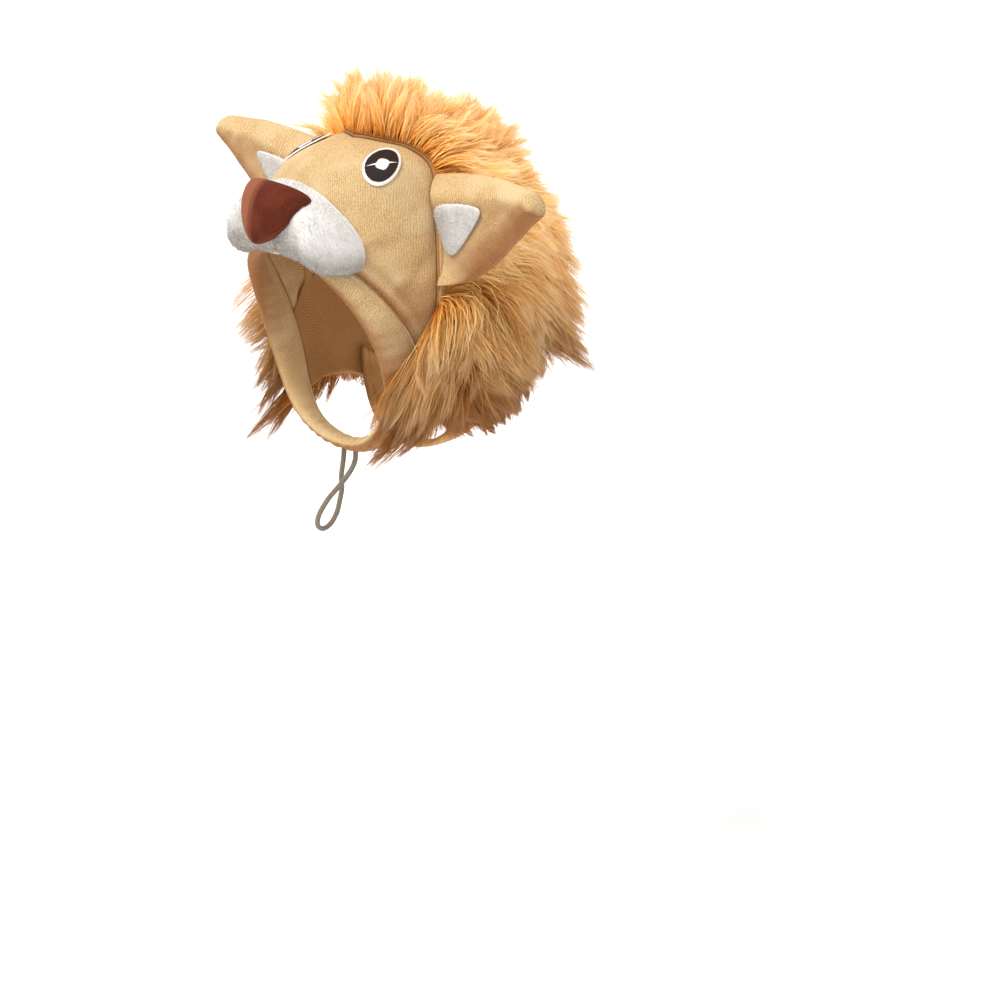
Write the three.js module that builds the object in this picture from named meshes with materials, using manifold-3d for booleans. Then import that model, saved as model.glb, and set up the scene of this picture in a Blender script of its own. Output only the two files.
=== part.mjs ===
// Lion hat for a small dog: a soft hood with a face, ears, a long mane and a drawcord.
// Millimetres, +Z up. The lion looks along -Y and its left side is +X. The origin is the
// inside of the crown, where the hood rests on the head.
import * as THREE from 'three';
import { mergeVertices } from 'three/addons/utils/BufferGeometryUtils.js';
import Module from 'manifold-3d';

const wasm = await Module();
wasm.setup();

// Hood sizes
const hoodLength = 128;
const hoodHeight = 156;
const hoodWidth = 108;
const sectionSquareness = 0.02;
const hoodSides = 48;
const hoodRows = 8;
const faceColumns = 28;
const faceRows = 7;

// Cloth
const velourWall = 2.4;
const backingWall = 2;
const pieceGap = 0.3;
const skinGap = 0.5;
const facetSlack = 0.2;

// Face rim, a padded cuff with the drawcord inside it
const rimThickness = 6;

// Mane
const maneSkin = 1.6;
const maneDepth = 9;
const maneRise = 0.4;
const lockLength = 33;
const lockWidth = 18;
const lockSwell = 0.35;
const lockTip = 0.06;
const lockRows = 5;
const lockSpacing = 24;
const lockCrown = { lean: 0.7, droop: 0.06, shorter: 0.22 };
const lockCheek = { lean: 1.0, droop: 0.4, shorter: 0.1 };
const throatSweep = 4.8;
const throatShorter = 0.32;
const ruffCount = 5;
const ruffSize = 0.85;
const maneEnd = 127.5;

// Muzzle
const muzzleWidth = 82;
const muzzleHeight = 32;
const muzzleDepth = 13;
const muzzleBack = 16;
const muzzleSeat = new THREE.Vector3(0, -58, -32);
const muzzleDrop = 17;
const muzzleWrap = 9;
const muzzleLobes = 0.75;
const lobeStart = 0.34;
const lobeFull = 0.85;
const muzzleWaist = 0.14;
const muzzleLip = 0.46;
const muzzleFullness = 0.85;

// Nose
const noseWidth = 45;
const noseHeight = 29.5;
const noseThickness = 7.5;
const noseSeat = new THREE.Vector3(0, -71.5, -28);
const noseTilt = 17;
const noseWrap = 8.5;
const noseTopShare = 0.4;
const nosePoint = 1.2;
const noseBack = 12;

// Eyes
const eyeLength = 26;
const eyeWidth = 15.4;
const eyeThickness = 0.9;
const eyePlace = { ring: 3.64, turn: 29.2, lean: 27 };

// Ears
const earLength = 95;
const earWidth = 51;
const earThickness = 9;
const earCup = 9;
const earInset = 21;
const earRoot = new THREE.Vector3(hoodWidth / 2 - earInset, -6, -43);
const earRise = 12.5;
const earSlant = 21;
const earSweep = -4;
const earLiningThickness = 1.4;
const patchMiddle = 0.36;
const patchLength = 0.4;
const patchRoot = { middle: 0.05, width: 0.56 };
const patchTip = { middle: 0.3, width: 0.2 };

// Chin strap
const strapThickness = 3;
const strapEnd = 116;
const strapFront = 6;
const strapBack = 8.1;

// Drawcord
const cordDiameter = 2.5;
const cordSides = 8;
const cordSteps = 30;

// Hood rings from the free edge of the face rim to the neck edge. Y is a share of hoodLength,
// Z a share of hoodHeight, half a share of hoodWidth. The sides of a ring lie behind the line
// from its top to its bottom by setback, a share of hoodLength.
const hoodRings = [
  { topY: -0.510, topZ: -0.318, bottomY: -0.262, bottomZ: -0.936, half: 0.422, setback: 0.066 },
  { topY: -0.468, topZ: -0.270, bottomY: -0.172, bottomZ: -0.952, half: 0.458, setback: 0.145 },
  { topY: -0.452, topZ: -0.160, bottomY: -0.117, bottomZ: -0.965, half: 0.480, setback: 0.150 },
  { topY: -0.340, topZ: -0.060, bottomY: -0.078, bottomZ: -0.976, half: 0.490, setback: 0.125 },
  { topY: -0.160, topZ: -0.008, bottomY: -0.031, bottomZ: -0.986, half: 0.498, setback: 0.085 },
  { topY: 0.050, topZ: 0.013, bottomY: 0.015, bottomZ: -0.994, half: 0.500, setback: 0.050 },
  { topY: 0.262, topZ: -0.056, bottomY: 0.055, bottomZ: -1.000, half: 0.490, setback: 0.026 },
  { topY: 0.415, topZ: -0.210, bottomY: 0.094, bottomZ: -1.000, half: 0.470, setback: 0.004 },
  { topY: 0.480, topZ: -0.420, bottomY: 0.125, bottomZ: -0.992, half: 0.440, setback: -0.016 },
];
const faceRing = 1;
const wallInset = 0.03;
const seamMargin = 0.03;
const neckRing = hoodRings.length - 1;

// The seam between the face and the mane: the ring it lies on at each turn from the top.
const faceSeam = [
  { turn: 0, ring: 3.94 },
  { turn: 14, ring: 4.14 },
  { turn: 26, ring: 4.44 },
  { turn: 38, ring: 4.54 },
  { turn: 52, ring: 4.22 },
  { turn: 66, ring: 3.74 },
  { turn: 78, ring: 3.24 },
  { turn: 88, ring: 2.62 },
];
const cheekTurn = faceSeam[faceSeam.length - 1].turn;

// Ear outline from root to tip: width as a share of earWidth, its middle's shift up as a share
// of earWidth, cup depth as a share of earCup.
const earSections = [
  { along: 0.00, width: 1.00, shift: 0.00, cup: 1.25 },
  { along: 0.25, width: 0.98, shift: 0.01, cup: 1.15 },
  { along: 0.50, width: 0.80, shift: 0.07, cup: 0.85 },
  { along: 0.75, width: 0.53, shift: 0.13, cup: 0.50 },
  { along: 0.92, width: 0.30, shift: 0.15, cup: 0.25 },
  { along: 1.00, width: 0.20, shift: 0.155, cup: 0.15 },
];

// Points of the hanging drawcord loop, from its left exit round the bight to its right exit.
const cordRoute = [
  [-3.0, -26.3, -149.5], [-3.1, -26.7, -154.5], [-3.6, -27.8, -163.5], [-3.3, -27.7, -168.9],
  [-4.0, -28.6, -175.5], [-4.7, -30.0, -181.4], [-5.4, -33.2, -186.3], [-5.6, -37.4, -187.8],
  [-4.6, -41.0, -185.2], [-2.4, -41.8, -179.6], [0.2, -38.4, -172.0], [2.5, -32.7, -165.2],
  [4.2, -28.4, -159.4], [5.1, -26.2, -154.5], [5.2, -25.6, -149.5],
];

const toRadians = Math.PI / 180;
const lerp = THREE.MathUtils.lerp;

/** A value of one column of a table at a fractional row, on a smooth curve through the rows. */
function column(rows, name, at) {
  const last = rows.length - 1;
  const i = Math.min(Math.max(Math.floor(at), 0), last - 1);
  const f = at - i;
  const value = (k) => rows[Math.min(Math.max(k, 0), last)][name];
  const before = i > 0 ? value(i - 1) : 2 * value(0) - value(1);
  const after = i + 2 <= last ? value(i + 2) : 2 * value(last) - value(last - 1);
  const [a, b] = [value(i), value(i + 1)];
  return a + 0.5 * f * (b - before + f * (2 * before - 5 * a + 4 * b - after
    + f * (3 * (a - b) + after - before)));
}

/** The fractional row of a table at which one rising column has a value. */
function rowAt(rows, name, value) {
  let i = 0;
  while (i < rows.length - 2 && rows[i + 1][name] < value) i += 1;
  return i + (value - rows[i][name]) / (rows[i + 1][name] - rows[i][name]);
}

/** A point of the hood's outer face, by ring and by turn from the top in radians. */
function hoodFace(ring, turn) {
  const q = sectionSquareness;
  const across = (Math.sin(turn) + q * Math.sin(3 * turn)) / (1 - q);
  const up = (Math.cos(turn) - q * Math.cos(3 * turn)) / (1 - q);
  const value = (name) => column(hoodRings, name, ring);
  const share = (1 + up) / 2;
  const set = value('setback') * Math.abs(Math.sin(turn)) ** 3;
  return new THREE.Vector3(
    across * value('half') * hoodWidth,
    (lerp(value('bottomY'), value('topY'), share) + set) * hoodLength,
    lerp(value('bottomZ'), value('topZ'), share) * hoodHeight,
  );
}

/** The directions along the hood's face at a point: back to the neck, round, and outwards. */
function hoodFrame(ring, turn) {
  const step = 0.02;
  const back = hoodFace(ring + step, turn).sub(hoodFace(ring - step, turn)).normalize();
  const round = hoodFace(ring, turn + step).sub(hoodFace(ring, turn - step)).normalize();
  const out = new THREE.Vector3().crossVectors(round, back).normalize();
  return { back, round, out };
}

/** A point at a distance outside the hood's outer face. */
function hoodPoint(ring, turn, distance) {
  return hoodFace(ring, turn).addScaledVector(hoodFrame(ring, turn).out, distance);
}

/** The ring of the face seam at a turn, the same on both sides. */
function seamRing(turn) {
  const degrees = Math.min(Math.abs(turn) / toRadians, cheekTurn);
  return column(faceSeam, 'ring', rowAt(faceSeam, 'turn', degrees));
}

/** Moves every vertex of a geometry to where the map puts it. */
function reshape(geometry, map) {
  const place = geometry.getAttribute('position');
  for (let i = 0; i < place.count; i += 1) {
    const p = map(place.getX(i), place.getY(i), place.getZ(i));
    place.setXYZ(i, p.x, p.y, p.z);
  }
  geometry.deleteAttribute('normal');
  geometry.deleteAttribute('uv');
  return faceOutwards(mergeVertices(geometry, 1e-4));
}

/** Turns the faces of a closed geometry round where a mirrored map left them facing in. */
function faceOutwards(geometry) {
  const place = geometry.getAttribute('position');
  const corners = geometry.index.array;
  const [a, b, c] = [new THREE.Vector3(), new THREE.Vector3(), new THREE.Vector3()];
  let volume = 0;
  for (let t = 0; t < corners.length; t += 3) {
    [a, b, c].forEach((p, k) => p.fromBufferAttribute(place, corners[t + k]));
    volume += a.dot(b.cross(c)) / 6;
  }
  if (volume < 0) {
    for (let t = 0; t < corners.length; t += 3) {
      [corners[t + 1], corners[t + 2]] = [corners[t + 2], corners[t + 1]];
    }
  }
  return geometry;
}

/** A closed solid from a closed geometry, to join and cut. */
function solid(geometry) {
  const vertProperties = new Float32Array(geometry.getAttribute('position').array);
  const triVerts = new Uint32Array(geometry.index.array);
  return new wasm.Manifold(new wasm.Mesh({ numProp: 3, vertProperties, triVerts }));
}

/** The geometry of a solid. */
function geometryOf(body) {
  const mesh = body.getMesh();
  const geometry = new THREE.BufferGeometry();
  geometry.setAttribute('position', new THREE.BufferAttribute(new Float32Array(mesh.vertProperties), 3));
  geometry.setIndex(new THREE.BufferAttribute(new Uint32Array(mesh.triVerts), 1));
  return geometry;
}

/** The largest joined piece of a geometry, without the crumbs that a cut leaves. */
function largestPiece(geometry) {
  const corners = Array.from(geometry.index.array);
  const owner = Array.from({ length: geometry.getAttribute('position').count }, (_, i) => i);
  const find = (i) => {
    let k = i;
    while (owner[k] !== k) k = owner[k] = owner[owner[k]];
    return k;
  };
  for (let t = 0; t < corners.length; t += 3) {
    owner[find(corners[t])] = find(corners[t + 1]);
    owner[find(corners[t + 1])] = find(corners[t + 2]);
  }
  const faces = new Map();
  for (let t = 0; t < corners.length; t += 3) {
    const piece = find(corners[t]);
    if (!faces.has(piece)) faces.set(piece, []);
    faces.get(piece).push(corners[t], corners[t + 1], corners[t + 2]);
  }
  const [largest] = [...faces.values()].sort((a, b) => b.length - a.length);
  geometry.setIndex(largest);
  return geometry;
}

/** A curved wall: a box whose width is the turn, height the ring, depth the distance out. */
function hoodWall({ turns, rings, turnAt, ringAt, inner, outer }) {
  return reshape(new THREE.BoxGeometry(1, 1, 1, turns, rings, 1), (x, y, z) => {
    const turn = turnAt(x + 0.5);
    const ring = ringAt(turn, y + 0.5);
    const top = typeof outer === 'function' ? outer(ring, turn) : outer;
    return hoodPoint(ring, turn, lerp(inner, top, z + 0.5));
  });
}

/** The hood filled up to a distance from its face, to cut what lies on it, in finer facets too. */
function hoodCore(distance, finer = 1) {
  const [sides, rows] = [hoodSides * finer, hoodRows * finer];
  return solid(reshape(new THREE.CylinderGeometry(1, 1, 1, sides, rows), (x, y, z) => {
    const ring = lerp(neckRing, faceRing + wallInset, y + 0.5);
    const turn = Math.atan2(x, z);
    const middle = hoodFace(ring, 0).add(hoodFace(ring, Math.PI)).multiplyScalar(0.5);
    return middle.lerp(hoodPoint(ring, turn, distance), Math.min(Math.hypot(x, z), 1));
  }));
}

/** The face panel, from the rim to the seam. */
function facePanel() {
  const edge = cheekTurn * toRadians;
  return hoodWall({
    turns: faceColumns,
    rings: faceRows,
    turnAt: (share) => lerp(-edge, edge, share),
    ringAt: (turn, share) => lerp(faceRing, seamRing(turn), share),
    inner: -velourWall,
    outer: 0,
  });
}

/** The room that the face panel takes in the hood's wall, to cut what lies round it. */
function faceSpace() {
  const depth = 2 * velourWall;
  const edge = cheekTurn * toRadians + (pieceGap + facetSlack) / (0.5 * hoodWidth);
  return solid(hoodWall({
    turns: faceColumns,
    rings: 2 * faceRows,
    turnAt: (share) => lerp(-edge, edge, share),
    ringAt: (turn, share) => lerp(0, seamRing(turn) + seamMargin, share),
    inner: -depth,
    outer: depth,
  }));
}

/** The wall under the mane, or the mane's own skin, with room for the face cut out. */
function maneWall(inner, outer) {
  const edge = maneEnd * toRadians;
  return solid(hoodWall({
    turns: Math.round((maneEnd * hoodSides) / 180),
    rings: hoodRows,
    turnAt: (share) => lerp(-edge, edge, share),
    ringAt: (turn, share) => lerp(faceRing + wallInset, neckRing, share),
    inner,
    outer,
  })).subtract(faceSpace());
}

/** The ring where the mane's locks start at a turn: the seam, or the rim below the cheeks. */
function maneStart(turn) {
  return Math.abs(turn) < cheekTurn * toRadians ? seamRing(turn) : faceRing;
}

/** The height of the fur's body under its locks: it rises from the seam to its full depth. */
function furHeight(ring, turn) {
  const share = Math.max(ring - maneStart(turn), 0) / (neckRing - maneStart(turn));
  const rise = Math.sin(0.5 * Math.PI * Math.min(1, share / maneRise));
  return skinGap + maneSkin + maneDepth * rise;
}

/** One lock of fur: a cone whose slices move along its hanging line. */
function lock(ring, turn, size, twist) {
  const root = hoodPoint(ring, turn, 0.5 * furHeight(ring, turn));
  const { back, round, out } = hoodFrame(ring, turn);
  const cheek = Math.sin(Math.min(Math.abs(turn), Math.PI / 2)) ** 2;
  const throat = THREE.MathUtils.smoothstep(Math.abs(turn), Math.PI * 0.44, Math.PI * 0.6);
  const front = Math.exp(faceRing - ring);
  const lean = lerp(lockCrown.lean, lockCheek.lean, cheek) - throatSweep * throat * front;
  const grow = out.clone().addScaledVector(back, lean).addScaledVector(round, twist).normalize();
  const droop = new THREE.Vector3(0, 0, -lerp(lockCrown.droop, lockCheek.droop, cheek));
  const shorter = lerp(lockCrown.shorter, lockCheek.shorter, cheek) + throatShorter * throat * (1 - front);
  const length = lockLength * size * (1 - shorter);
  return reshape(new THREE.CylinderGeometry(lockTip, 0.5, 1, 4, 2), (x, y, z) => {
    const along = y + 0.5;
    const swell = lockWidth * size * (1 + lockSwell * Math.sin(Math.PI * along));
    return root.clone()
      .addScaledVector(grow, along * length)
      .addScaledVector(droop, along * along * length)
      .addScaledVector(back, z * swell * 0.7)
      .addScaledVector(round, x * swell);
  });
}

/** All the locks in staggered rows round the hood, from the seam to the neck edge. */
function maneLocks() {
  const locks = [];
  const edge = maneEnd * toRadians;
  const margin = 0.22;
  const pairs = Math.round((edge * hoodWidth * 0.62) / lockSpacing);
  for (let row = 0; row < lockRows; row += 1) {
    const count = 2 * pairs + (row % 2);
    for (let k = 0; k < count; k += 1) {
      const turn = lerp(-edge, edge, (k + 0.7) / (count + 0.4));
      const wave = Math.sin(7 * row + 3.7 * k);
      const first = maneStart(turn) + margin;
      const ring = lerp(first, neckRing - margin, row / (lockRows - 1)) + margin * 0.35 * wave;
      locks.push(lock(ring, turn, 0.92 + 0.12 * wave, 0.18 * Math.sin(5 * k + row)));
    }
  }
  return locks;
}

/** The short ruff of locks that falls forwards over the rim below each cheek. */
function ruffLocks() {
  const [first, last] = [cheekTurn * toRadians + 0.06, maneEnd * toRadians - 0.06];
  return [1, -1].flatMap((side) => Array.from({ length: ruffCount }, (_, k) => {
    const turn = side * lerp(first, last, k / (ruffCount - 1));
    return lock(faceRing + 0.3 + 0.1 * (k % 2), turn, ruffSize, 0.1 * side);
  }));
}

/** The face rim: a padded ring, thick in the middle, from the panel's edge to its free edge. */
function faceRim(grow = 0) {
  return reshape(new THREE.TorusGeometry(1, 0.5, 8, 40), (x, y, z) => {
    const turn = Math.atan2(x, y);
    const along = (Math.hypot(x, y) - 1) * 2;
    const blunt = Math.sign(along) * Math.abs(along) ** 0.7;
    const ring = lerp(0, faceRing - 0.03, 0.5 - 0.5 * blunt);
    const height = z * 2 * (rimThickness / 2 + grow);
    return hoodPoint(ring, turn, height - velourWall / 2);
  });
}

/** A stuffed muzzle of two lobes that wraps the front of the face, its ends lower than its middle. */
function muzzleForm(grow = 0) {
  return solid(reshape(new THREE.SphereGeometry(1, 24, 12), (x, y, z) => {
    const across = Math.sign(y) * Math.abs(y) ** 0.8;
    const girth = Math.sqrt(Math.max(1 - y * y, 1e-12));
    const fill = (1 - Math.abs(across) ** 4) ** 0.5;
    const [up, front] = [x / girth, -z / girth]
      .map((share) => Math.sign(share) * Math.abs(share) ** muzzleFullness * fill);
    const lobes = 1 + muzzleLobes * THREE.MathUtils.smoothstep(Math.abs(across), lobeStart, lobeFull);
    const waist = 1 - muzzleWaist * (1 - Math.min(1, Math.abs(across) * 2));
    const lip = x < 0 ? 1 + muzzleLip * (1 - THREE.MathUtils.smoothstep(Math.abs(across), 0, 0.6)) : 1;
    return new THREE.Vector3(
      across * (muzzleWidth / 2 + grow),
      muzzleSeat.y - front * (front > 0 ? muzzleDepth * lobes + grow : muzzleBack)
        + muzzleWrap * across * across,
      muzzleSeat.z + up * (muzzleHeight / 2 + grow) * waist * lip - muzzleDrop * Math.abs(across) ** 1.4,
    );
  }));
}

/** The nose: a soft rounded triangle with its point down, laid over the muzzle. */
function noseForm() {
  const tilt = new THREE.Euler(-noseTilt * toRadians, 0, 0);
  return solid(reshape(new THREE.SphereGeometry(1, 20, 10), (x, y, z) => {
    const high = y > 0 ? noseTopShare : 1 - noseTopShare;
    const girth = Math.sqrt(Math.max(1 - y * y, 1e-12));
    const half = y > 0 ? (1 - y ** 3) ** 0.5 : (1 - Math.abs(y) ** nosePoint) ** 0.9;
    const across = (x / girth) * half;
    const depth = z < 0 ? noseThickness * Math.abs(z) ** 0.8 : -noseBack * z;
    return new THREE.Vector3(across * noseWidth * 0.5, -depth, y * noseHeight * high)
      .applyEuler(tilt)
      .add(noseSeat)
      .add(new THREE.Vector3(0, noseWrap * across * across, 0));
  }));
}

/** An embroidered eye: a thin oval pad that follows the face. */
function eyeForm(side) {
  const place = hoodFace(eyePlace.ring, eyePlace.turn * toRadians);
  const lean = eyePlace.lean * toRadians;
  const reach = hoodFace(eyePlace.ring + 0.5, eyePlace.turn * toRadians).distanceTo(place) / 0.5;
  const girth = place.clone().sub(hoodFace(eyePlace.ring, (eyePlace.turn + 1) * toRadians)).length();
  return reshape(new THREE.SphereGeometry(1, 20, 6), (x, y, z) => {
    const [a, b] = [x * eyeWidth * 0.5, y * eyeLength * 0.5];
    const along = b * Math.cos(lean) + a * Math.sin(lean);
    const round = a * Math.cos(lean) - b * Math.sin(lean);
    const ring = eyePlace.ring + along / reach;
    const turn = (eyePlace.turn + round / girth) * toRadians;
    const height = pieceGap + eyeThickness * (0.5 + 0.5 * z);
    return hoodPoint(ring, side * turn, height);
  });
}

/** A point of an ear in its own frame: along to the tip, up, and forward out of the cup. */
function earPoint(along, across, depth, grow = 0) {
  const row = rowAt(earSections, 'along', Math.min(Math.max(along, 0), 1));
  const value = (name) => column(earSections, name, row);
  const half = (value('width') * earWidth) / 2;
  const reach = across * (half + grow);
  const cup = value('cup') * earCup * ((reach / half) ** 2 - 0.35);
  return new THREE.Vector3(along * earLength, -cup - depth, reach + value('shift') * earWidth);
}

/** Puts a point of an ear's own frame where the ear sits, on one side of the hood. */
function seatEar(point, side) {
  const slant = new THREE.Euler(0, -earRise * toRadians, 0);
  const lean = earSlant * toRadians;
  const raked = new THREE.Vector3(point.x - point.z * Math.tan(lean), point.y, point.z);
  const placed = raked.applyEuler(slant).add(earRoot);
  placed.y += earSweep * (point.x / earLength);
  placed.x *= side;
  return placed;
}

/** A padded ear, thick in the middle and rounded at its tip, before its root is cut. */
function earForm(side, grow = 0) {
  return reshape(new THREE.SphereGeometry(1, 20, 12), (x, y, z) => {
    const along = 0.5 + 0.5 * Math.sign(x) * Math.abs(x) ** 0.9;
    const width = Math.sqrt(Math.max(1 - x * x, 1e-9));
    const across = y / width;
    const fill = Math.min(1, 3.2 * width);
    const depth = z / width;
    const pad = (earThickness / 2 + grow) * depth * Math.min(1, 2.4 * width) ** 0.7;
    return seatEar(earPoint(along, across * fill, pad, grow), side);
  });
}

/** The white lining patch in the cup of an ear. */
function earPatch(side) {
  return reshape(new THREE.SphereGeometry(1, 16, 8), (x, y, z) => {
    const share = 0.5 + 0.5 * x;
    const along = patchMiddle + 0.5 * patchLength * x;
    const across = lerp(patchRoot.middle, patchTip.middle, share)
      + y * lerp(patchRoot.width, patchTip.width, share);
    const rest = (earThickness / 2) * Math.sqrt(1 - across * across) + pieceGap;
    return seatEar(earPoint(along, across, rest + earLiningThickness * (0.5 + 0.5 * z)), side);
  });
}

/** The chin strap between the mane's two ends, just inside them. */
function chinStrap() {
  const outer = -backingWall - pieceGap;
  return hoodWall({
    turns: 22,
    rings: 2,
    turnAt: (share) => lerp(strapEnd, 360 - strapEnd, share) * toRadians,
    ringAt: (turn, share) => lerp(strapFront, strapBack, share) - 0.15,
    inner: outer - strapThickness,
    outer,
  });
}

/** The drawcord's hanging loop: a round tube along its route. */
function drawcord() {
  const route = new THREE.CatmullRomCurve3(cordRoute.map((p) => new THREE.Vector3(...p)));
  const section = new THREE.Shape();
  for (let k = 0; k < cordSides; k += 1) {
    const angle = (2 * Math.PI * k) / cordSides;
    const [x, y] = [Math.cos(angle) * cordDiameter * 0.5, Math.sin(angle) * cordDiameter * 0.5];
    if (k === 0) section.moveTo(x, y);
    else section.lineTo(x, y);
  }
  return new THREE.ExtrudeGeometry(section, { steps: cordSteps, extrudePath: route });
}

const cloth = (color, roughness) => new THREE.MeshStandardMaterial({ color, roughness, metalness: 0 });
const tanVelour = cloth('#dcae72', 0.9);
const whitePlush = cloth('#f1efec', 0.95);
const brownVelour = cloth('#9a5238', 0.85);
const eyeThread = cloth('#2e2320', 0.55);
const orangeFur = cloth('#eaa449', 0.8);
const backingKnit = cloth('#c98f52', 0.95);
const cordBraid = cloth('#a89a88', 0.7);

const hat = new THREE.Group();
hat.name = 'lion_dog_hat';

/** Adds one piece to the hat. */
function add(name, geometry, material) {
  const mesh = new THREE.Mesh(geometry, material);
  mesh.name = name;
  hat.add(mesh);
}

// What lies on the hood keeps pieceGap to it, and facetSlack more where the facets differ
const core = hoodCore(pieceGap + facetSlack, 2);
const rimSpace = solid(faceRim(pieceGap));
const muzzle = muzzleForm().subtract(core).subtract(rimSpace);
const nose = noseForm().subtract(muzzleForm(pieceGap)).subtract(core);

add('face_panel', facePanel(), tanVelour);
add('face_rim', faceRim(), tanVelour);
add('muzzle', largestPiece(geometryOf(muzzle)), whitePlush);
add('nose', largestPiece(geometryOf(nose)), brownVelour);
for (const [name, side] of [['left', 1], ['right', -1]]) {
  add(`eye_${name}`, eyeForm(side), eyeThread);
  add(`ear_${name}`, largestPiece(geometryOf(solid(earForm(side)).subtract(core))), tanVelour);
  add(`ear_lining_${name}`, largestPiece(geometryOf(solid(earPatch(side)).subtract(core))), whitePlush);
}

const earRoom = pieceGap + facetSlack;
const earSpace = solid(earForm(1, earRoom)).add(solid(earForm(-1, earRoom)))
  .add(solid(earPatch(1))).add(solid(earPatch(-1)));
let fur = maneWall(skinGap, furHeight);
for (const one of [...maneLocks(), ...ruffLocks()]) fur = fur.add(solid(one));
fur = fur.subtract(hoodCore(pieceGap)).subtract(earSpace).subtract(rimSpace);
add('mane_backing', geometryOf(maneWall(-backingWall, 0)), backingKnit);
add('mane', largestPiece(geometryOf(fur)), orangeFur);
add('chin_strap', chinStrap(), tanVelour);
add('drawcord', drawcord(), cordBraid);

export default hat;
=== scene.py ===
# %% [markdown]
# # Lion costume hat, dressed
#
# A soft hood with a velour face, two padded ears, a stuffed muzzle and nose, a long orange mane
# and a drawcord. The hood is one smooth surface, given by a table of rings. Every soft piece is
# worked out from that surface in numpy, so that neighbours meet where they are sewn. Lengths
# are in metres, Z is up, and the lion looks along -Y with its left side on +X.

import bpy
import numpy as np
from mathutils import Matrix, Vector


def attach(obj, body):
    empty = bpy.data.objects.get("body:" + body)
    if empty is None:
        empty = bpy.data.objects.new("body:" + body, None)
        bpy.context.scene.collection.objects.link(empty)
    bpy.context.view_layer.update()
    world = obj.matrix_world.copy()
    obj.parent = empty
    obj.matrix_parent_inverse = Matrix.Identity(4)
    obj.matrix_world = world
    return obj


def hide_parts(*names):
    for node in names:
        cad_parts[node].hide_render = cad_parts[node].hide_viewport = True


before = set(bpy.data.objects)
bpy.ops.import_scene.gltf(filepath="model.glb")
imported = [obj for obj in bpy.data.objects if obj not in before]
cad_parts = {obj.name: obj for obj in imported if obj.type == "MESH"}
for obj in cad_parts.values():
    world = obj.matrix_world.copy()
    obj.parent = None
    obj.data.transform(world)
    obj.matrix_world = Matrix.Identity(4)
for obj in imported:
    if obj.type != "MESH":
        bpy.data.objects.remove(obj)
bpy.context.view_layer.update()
MM = 0.001

# %% [markdown]
# ## Camera
#
# The photograph is taken from the lion's left front, a little above the hat, with a long lens.
# The camera is placed by the size of a millimetre in the picture and by the pixel on which the
# middle of the hood falls.

# %% Camera
CAMERA_TURN = np.radians(51.4)
CAMERA_RISE = np.radians(16.3)
CAMERA_DISTANCE = 1.8
PIXELS_PER_METRE = 2150.0
FRAME_PIXELS = 1000
SENSOR_WIDTH_MM = 36.0
HOOD_MIDDLE = np.array([0.0, 0.0, -0.066])
HOOD_MIDDLE_PIXEL = (391.6, 266.0)

towards_camera = np.array([
    np.sin(CAMERA_TURN) * np.cos(CAMERA_RISE),
    -np.cos(CAMERA_TURN) * np.cos(CAMERA_RISE),
    np.sin(CAMERA_RISE),
])
picture_right = np.array([np.cos(CAMERA_TURN), np.sin(CAMERA_TURN), 0.0])
picture_up = np.cross(towards_camera, picture_right)
aim = (
    HOOD_MIDDLE
    + picture_right * (FRAME_PIXELS / 2 - HOOD_MIDDLE_PIXEL[0]) / PIXELS_PER_METRE
    - picture_up * (FRAME_PIXELS / 2 - HOOD_MIDDLE_PIXEL[1]) / PIXELS_PER_METRE
)
camera_data = bpy.data.cameras.new("camera")
camera_data.sensor_width = SENSOR_WIDTH_MM
camera_data.lens = SENSOR_WIDTH_MM * PIXELS_PER_METRE * CAMERA_DISTANCE / FRAME_PIXELS
camera_data.clip_end = 30.0
camera = bpy.data.objects.new("camera", camera_data)
camera.location = aim + towards_camera * CAMERA_DISTANCE
camera.rotation_euler = Vector(-towards_camera).to_track_quat("-Z", "Y").to_euler()
bpy.context.scene.collection.objects.link(camera)
bpy.context.scene.camera = camera
bpy.context.scene.view_settings.view_transform = "Standard"
print("camera at", np.round(camera.location, 3), "lens", round(camera_data.lens, 1))

# %% [markdown]
# ## Meshes from grids
#
# Each piece is a grid of points. The helpers below join the points into faces, close a sheet
# into a wall with two sides, and give each face corner a UV in metres or shares.


# %% Mesh helpers
def make_mesh(name, points, faces, layers):
    """An object at the origin. faces is a list of index arrays, all quads or all triangles in
    each, and layers maps a UV layer's name to a like list of (faces, corners, 2) arrays."""
    mesh = bpy.data.meshes.new(name)
    mesh.vertices.add(len(points))
    mesh.vertices.foreach_set("co", np.ascontiguousarray(points, dtype=np.float32).ravel())
    corners = np.concatenate([part.ravel() for part in faces]).astype(np.int32)
    sizes = np.concatenate([np.full(len(part), part.shape[1]) for part in faces])
    mesh.loops.add(len(corners))
    mesh.loops.foreach_set("vertex_index", corners)
    mesh.polygons.add(len(sizes))
    starts = np.concatenate([[0], np.cumsum(sizes)[:-1]]).astype(np.int32)
    mesh.polygons.foreach_set("loop_start", starts)
    mesh.update(calc_edges=True)
    for layer_name, parts in layers.items():
        layer = mesh.uv_layers.new(name=layer_name)
        values = np.concatenate([part.reshape(-1, 2) for part in parts])
        layer.uv.foreach_set("vector", np.ascontiguousarray(values, dtype=np.float32).ravel())
    mesh.shade_smooth()
    made = bpy.data.objects.new(name, mesh)
    bpy.context.scene.collection.objects.link(made)
    return made


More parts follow.
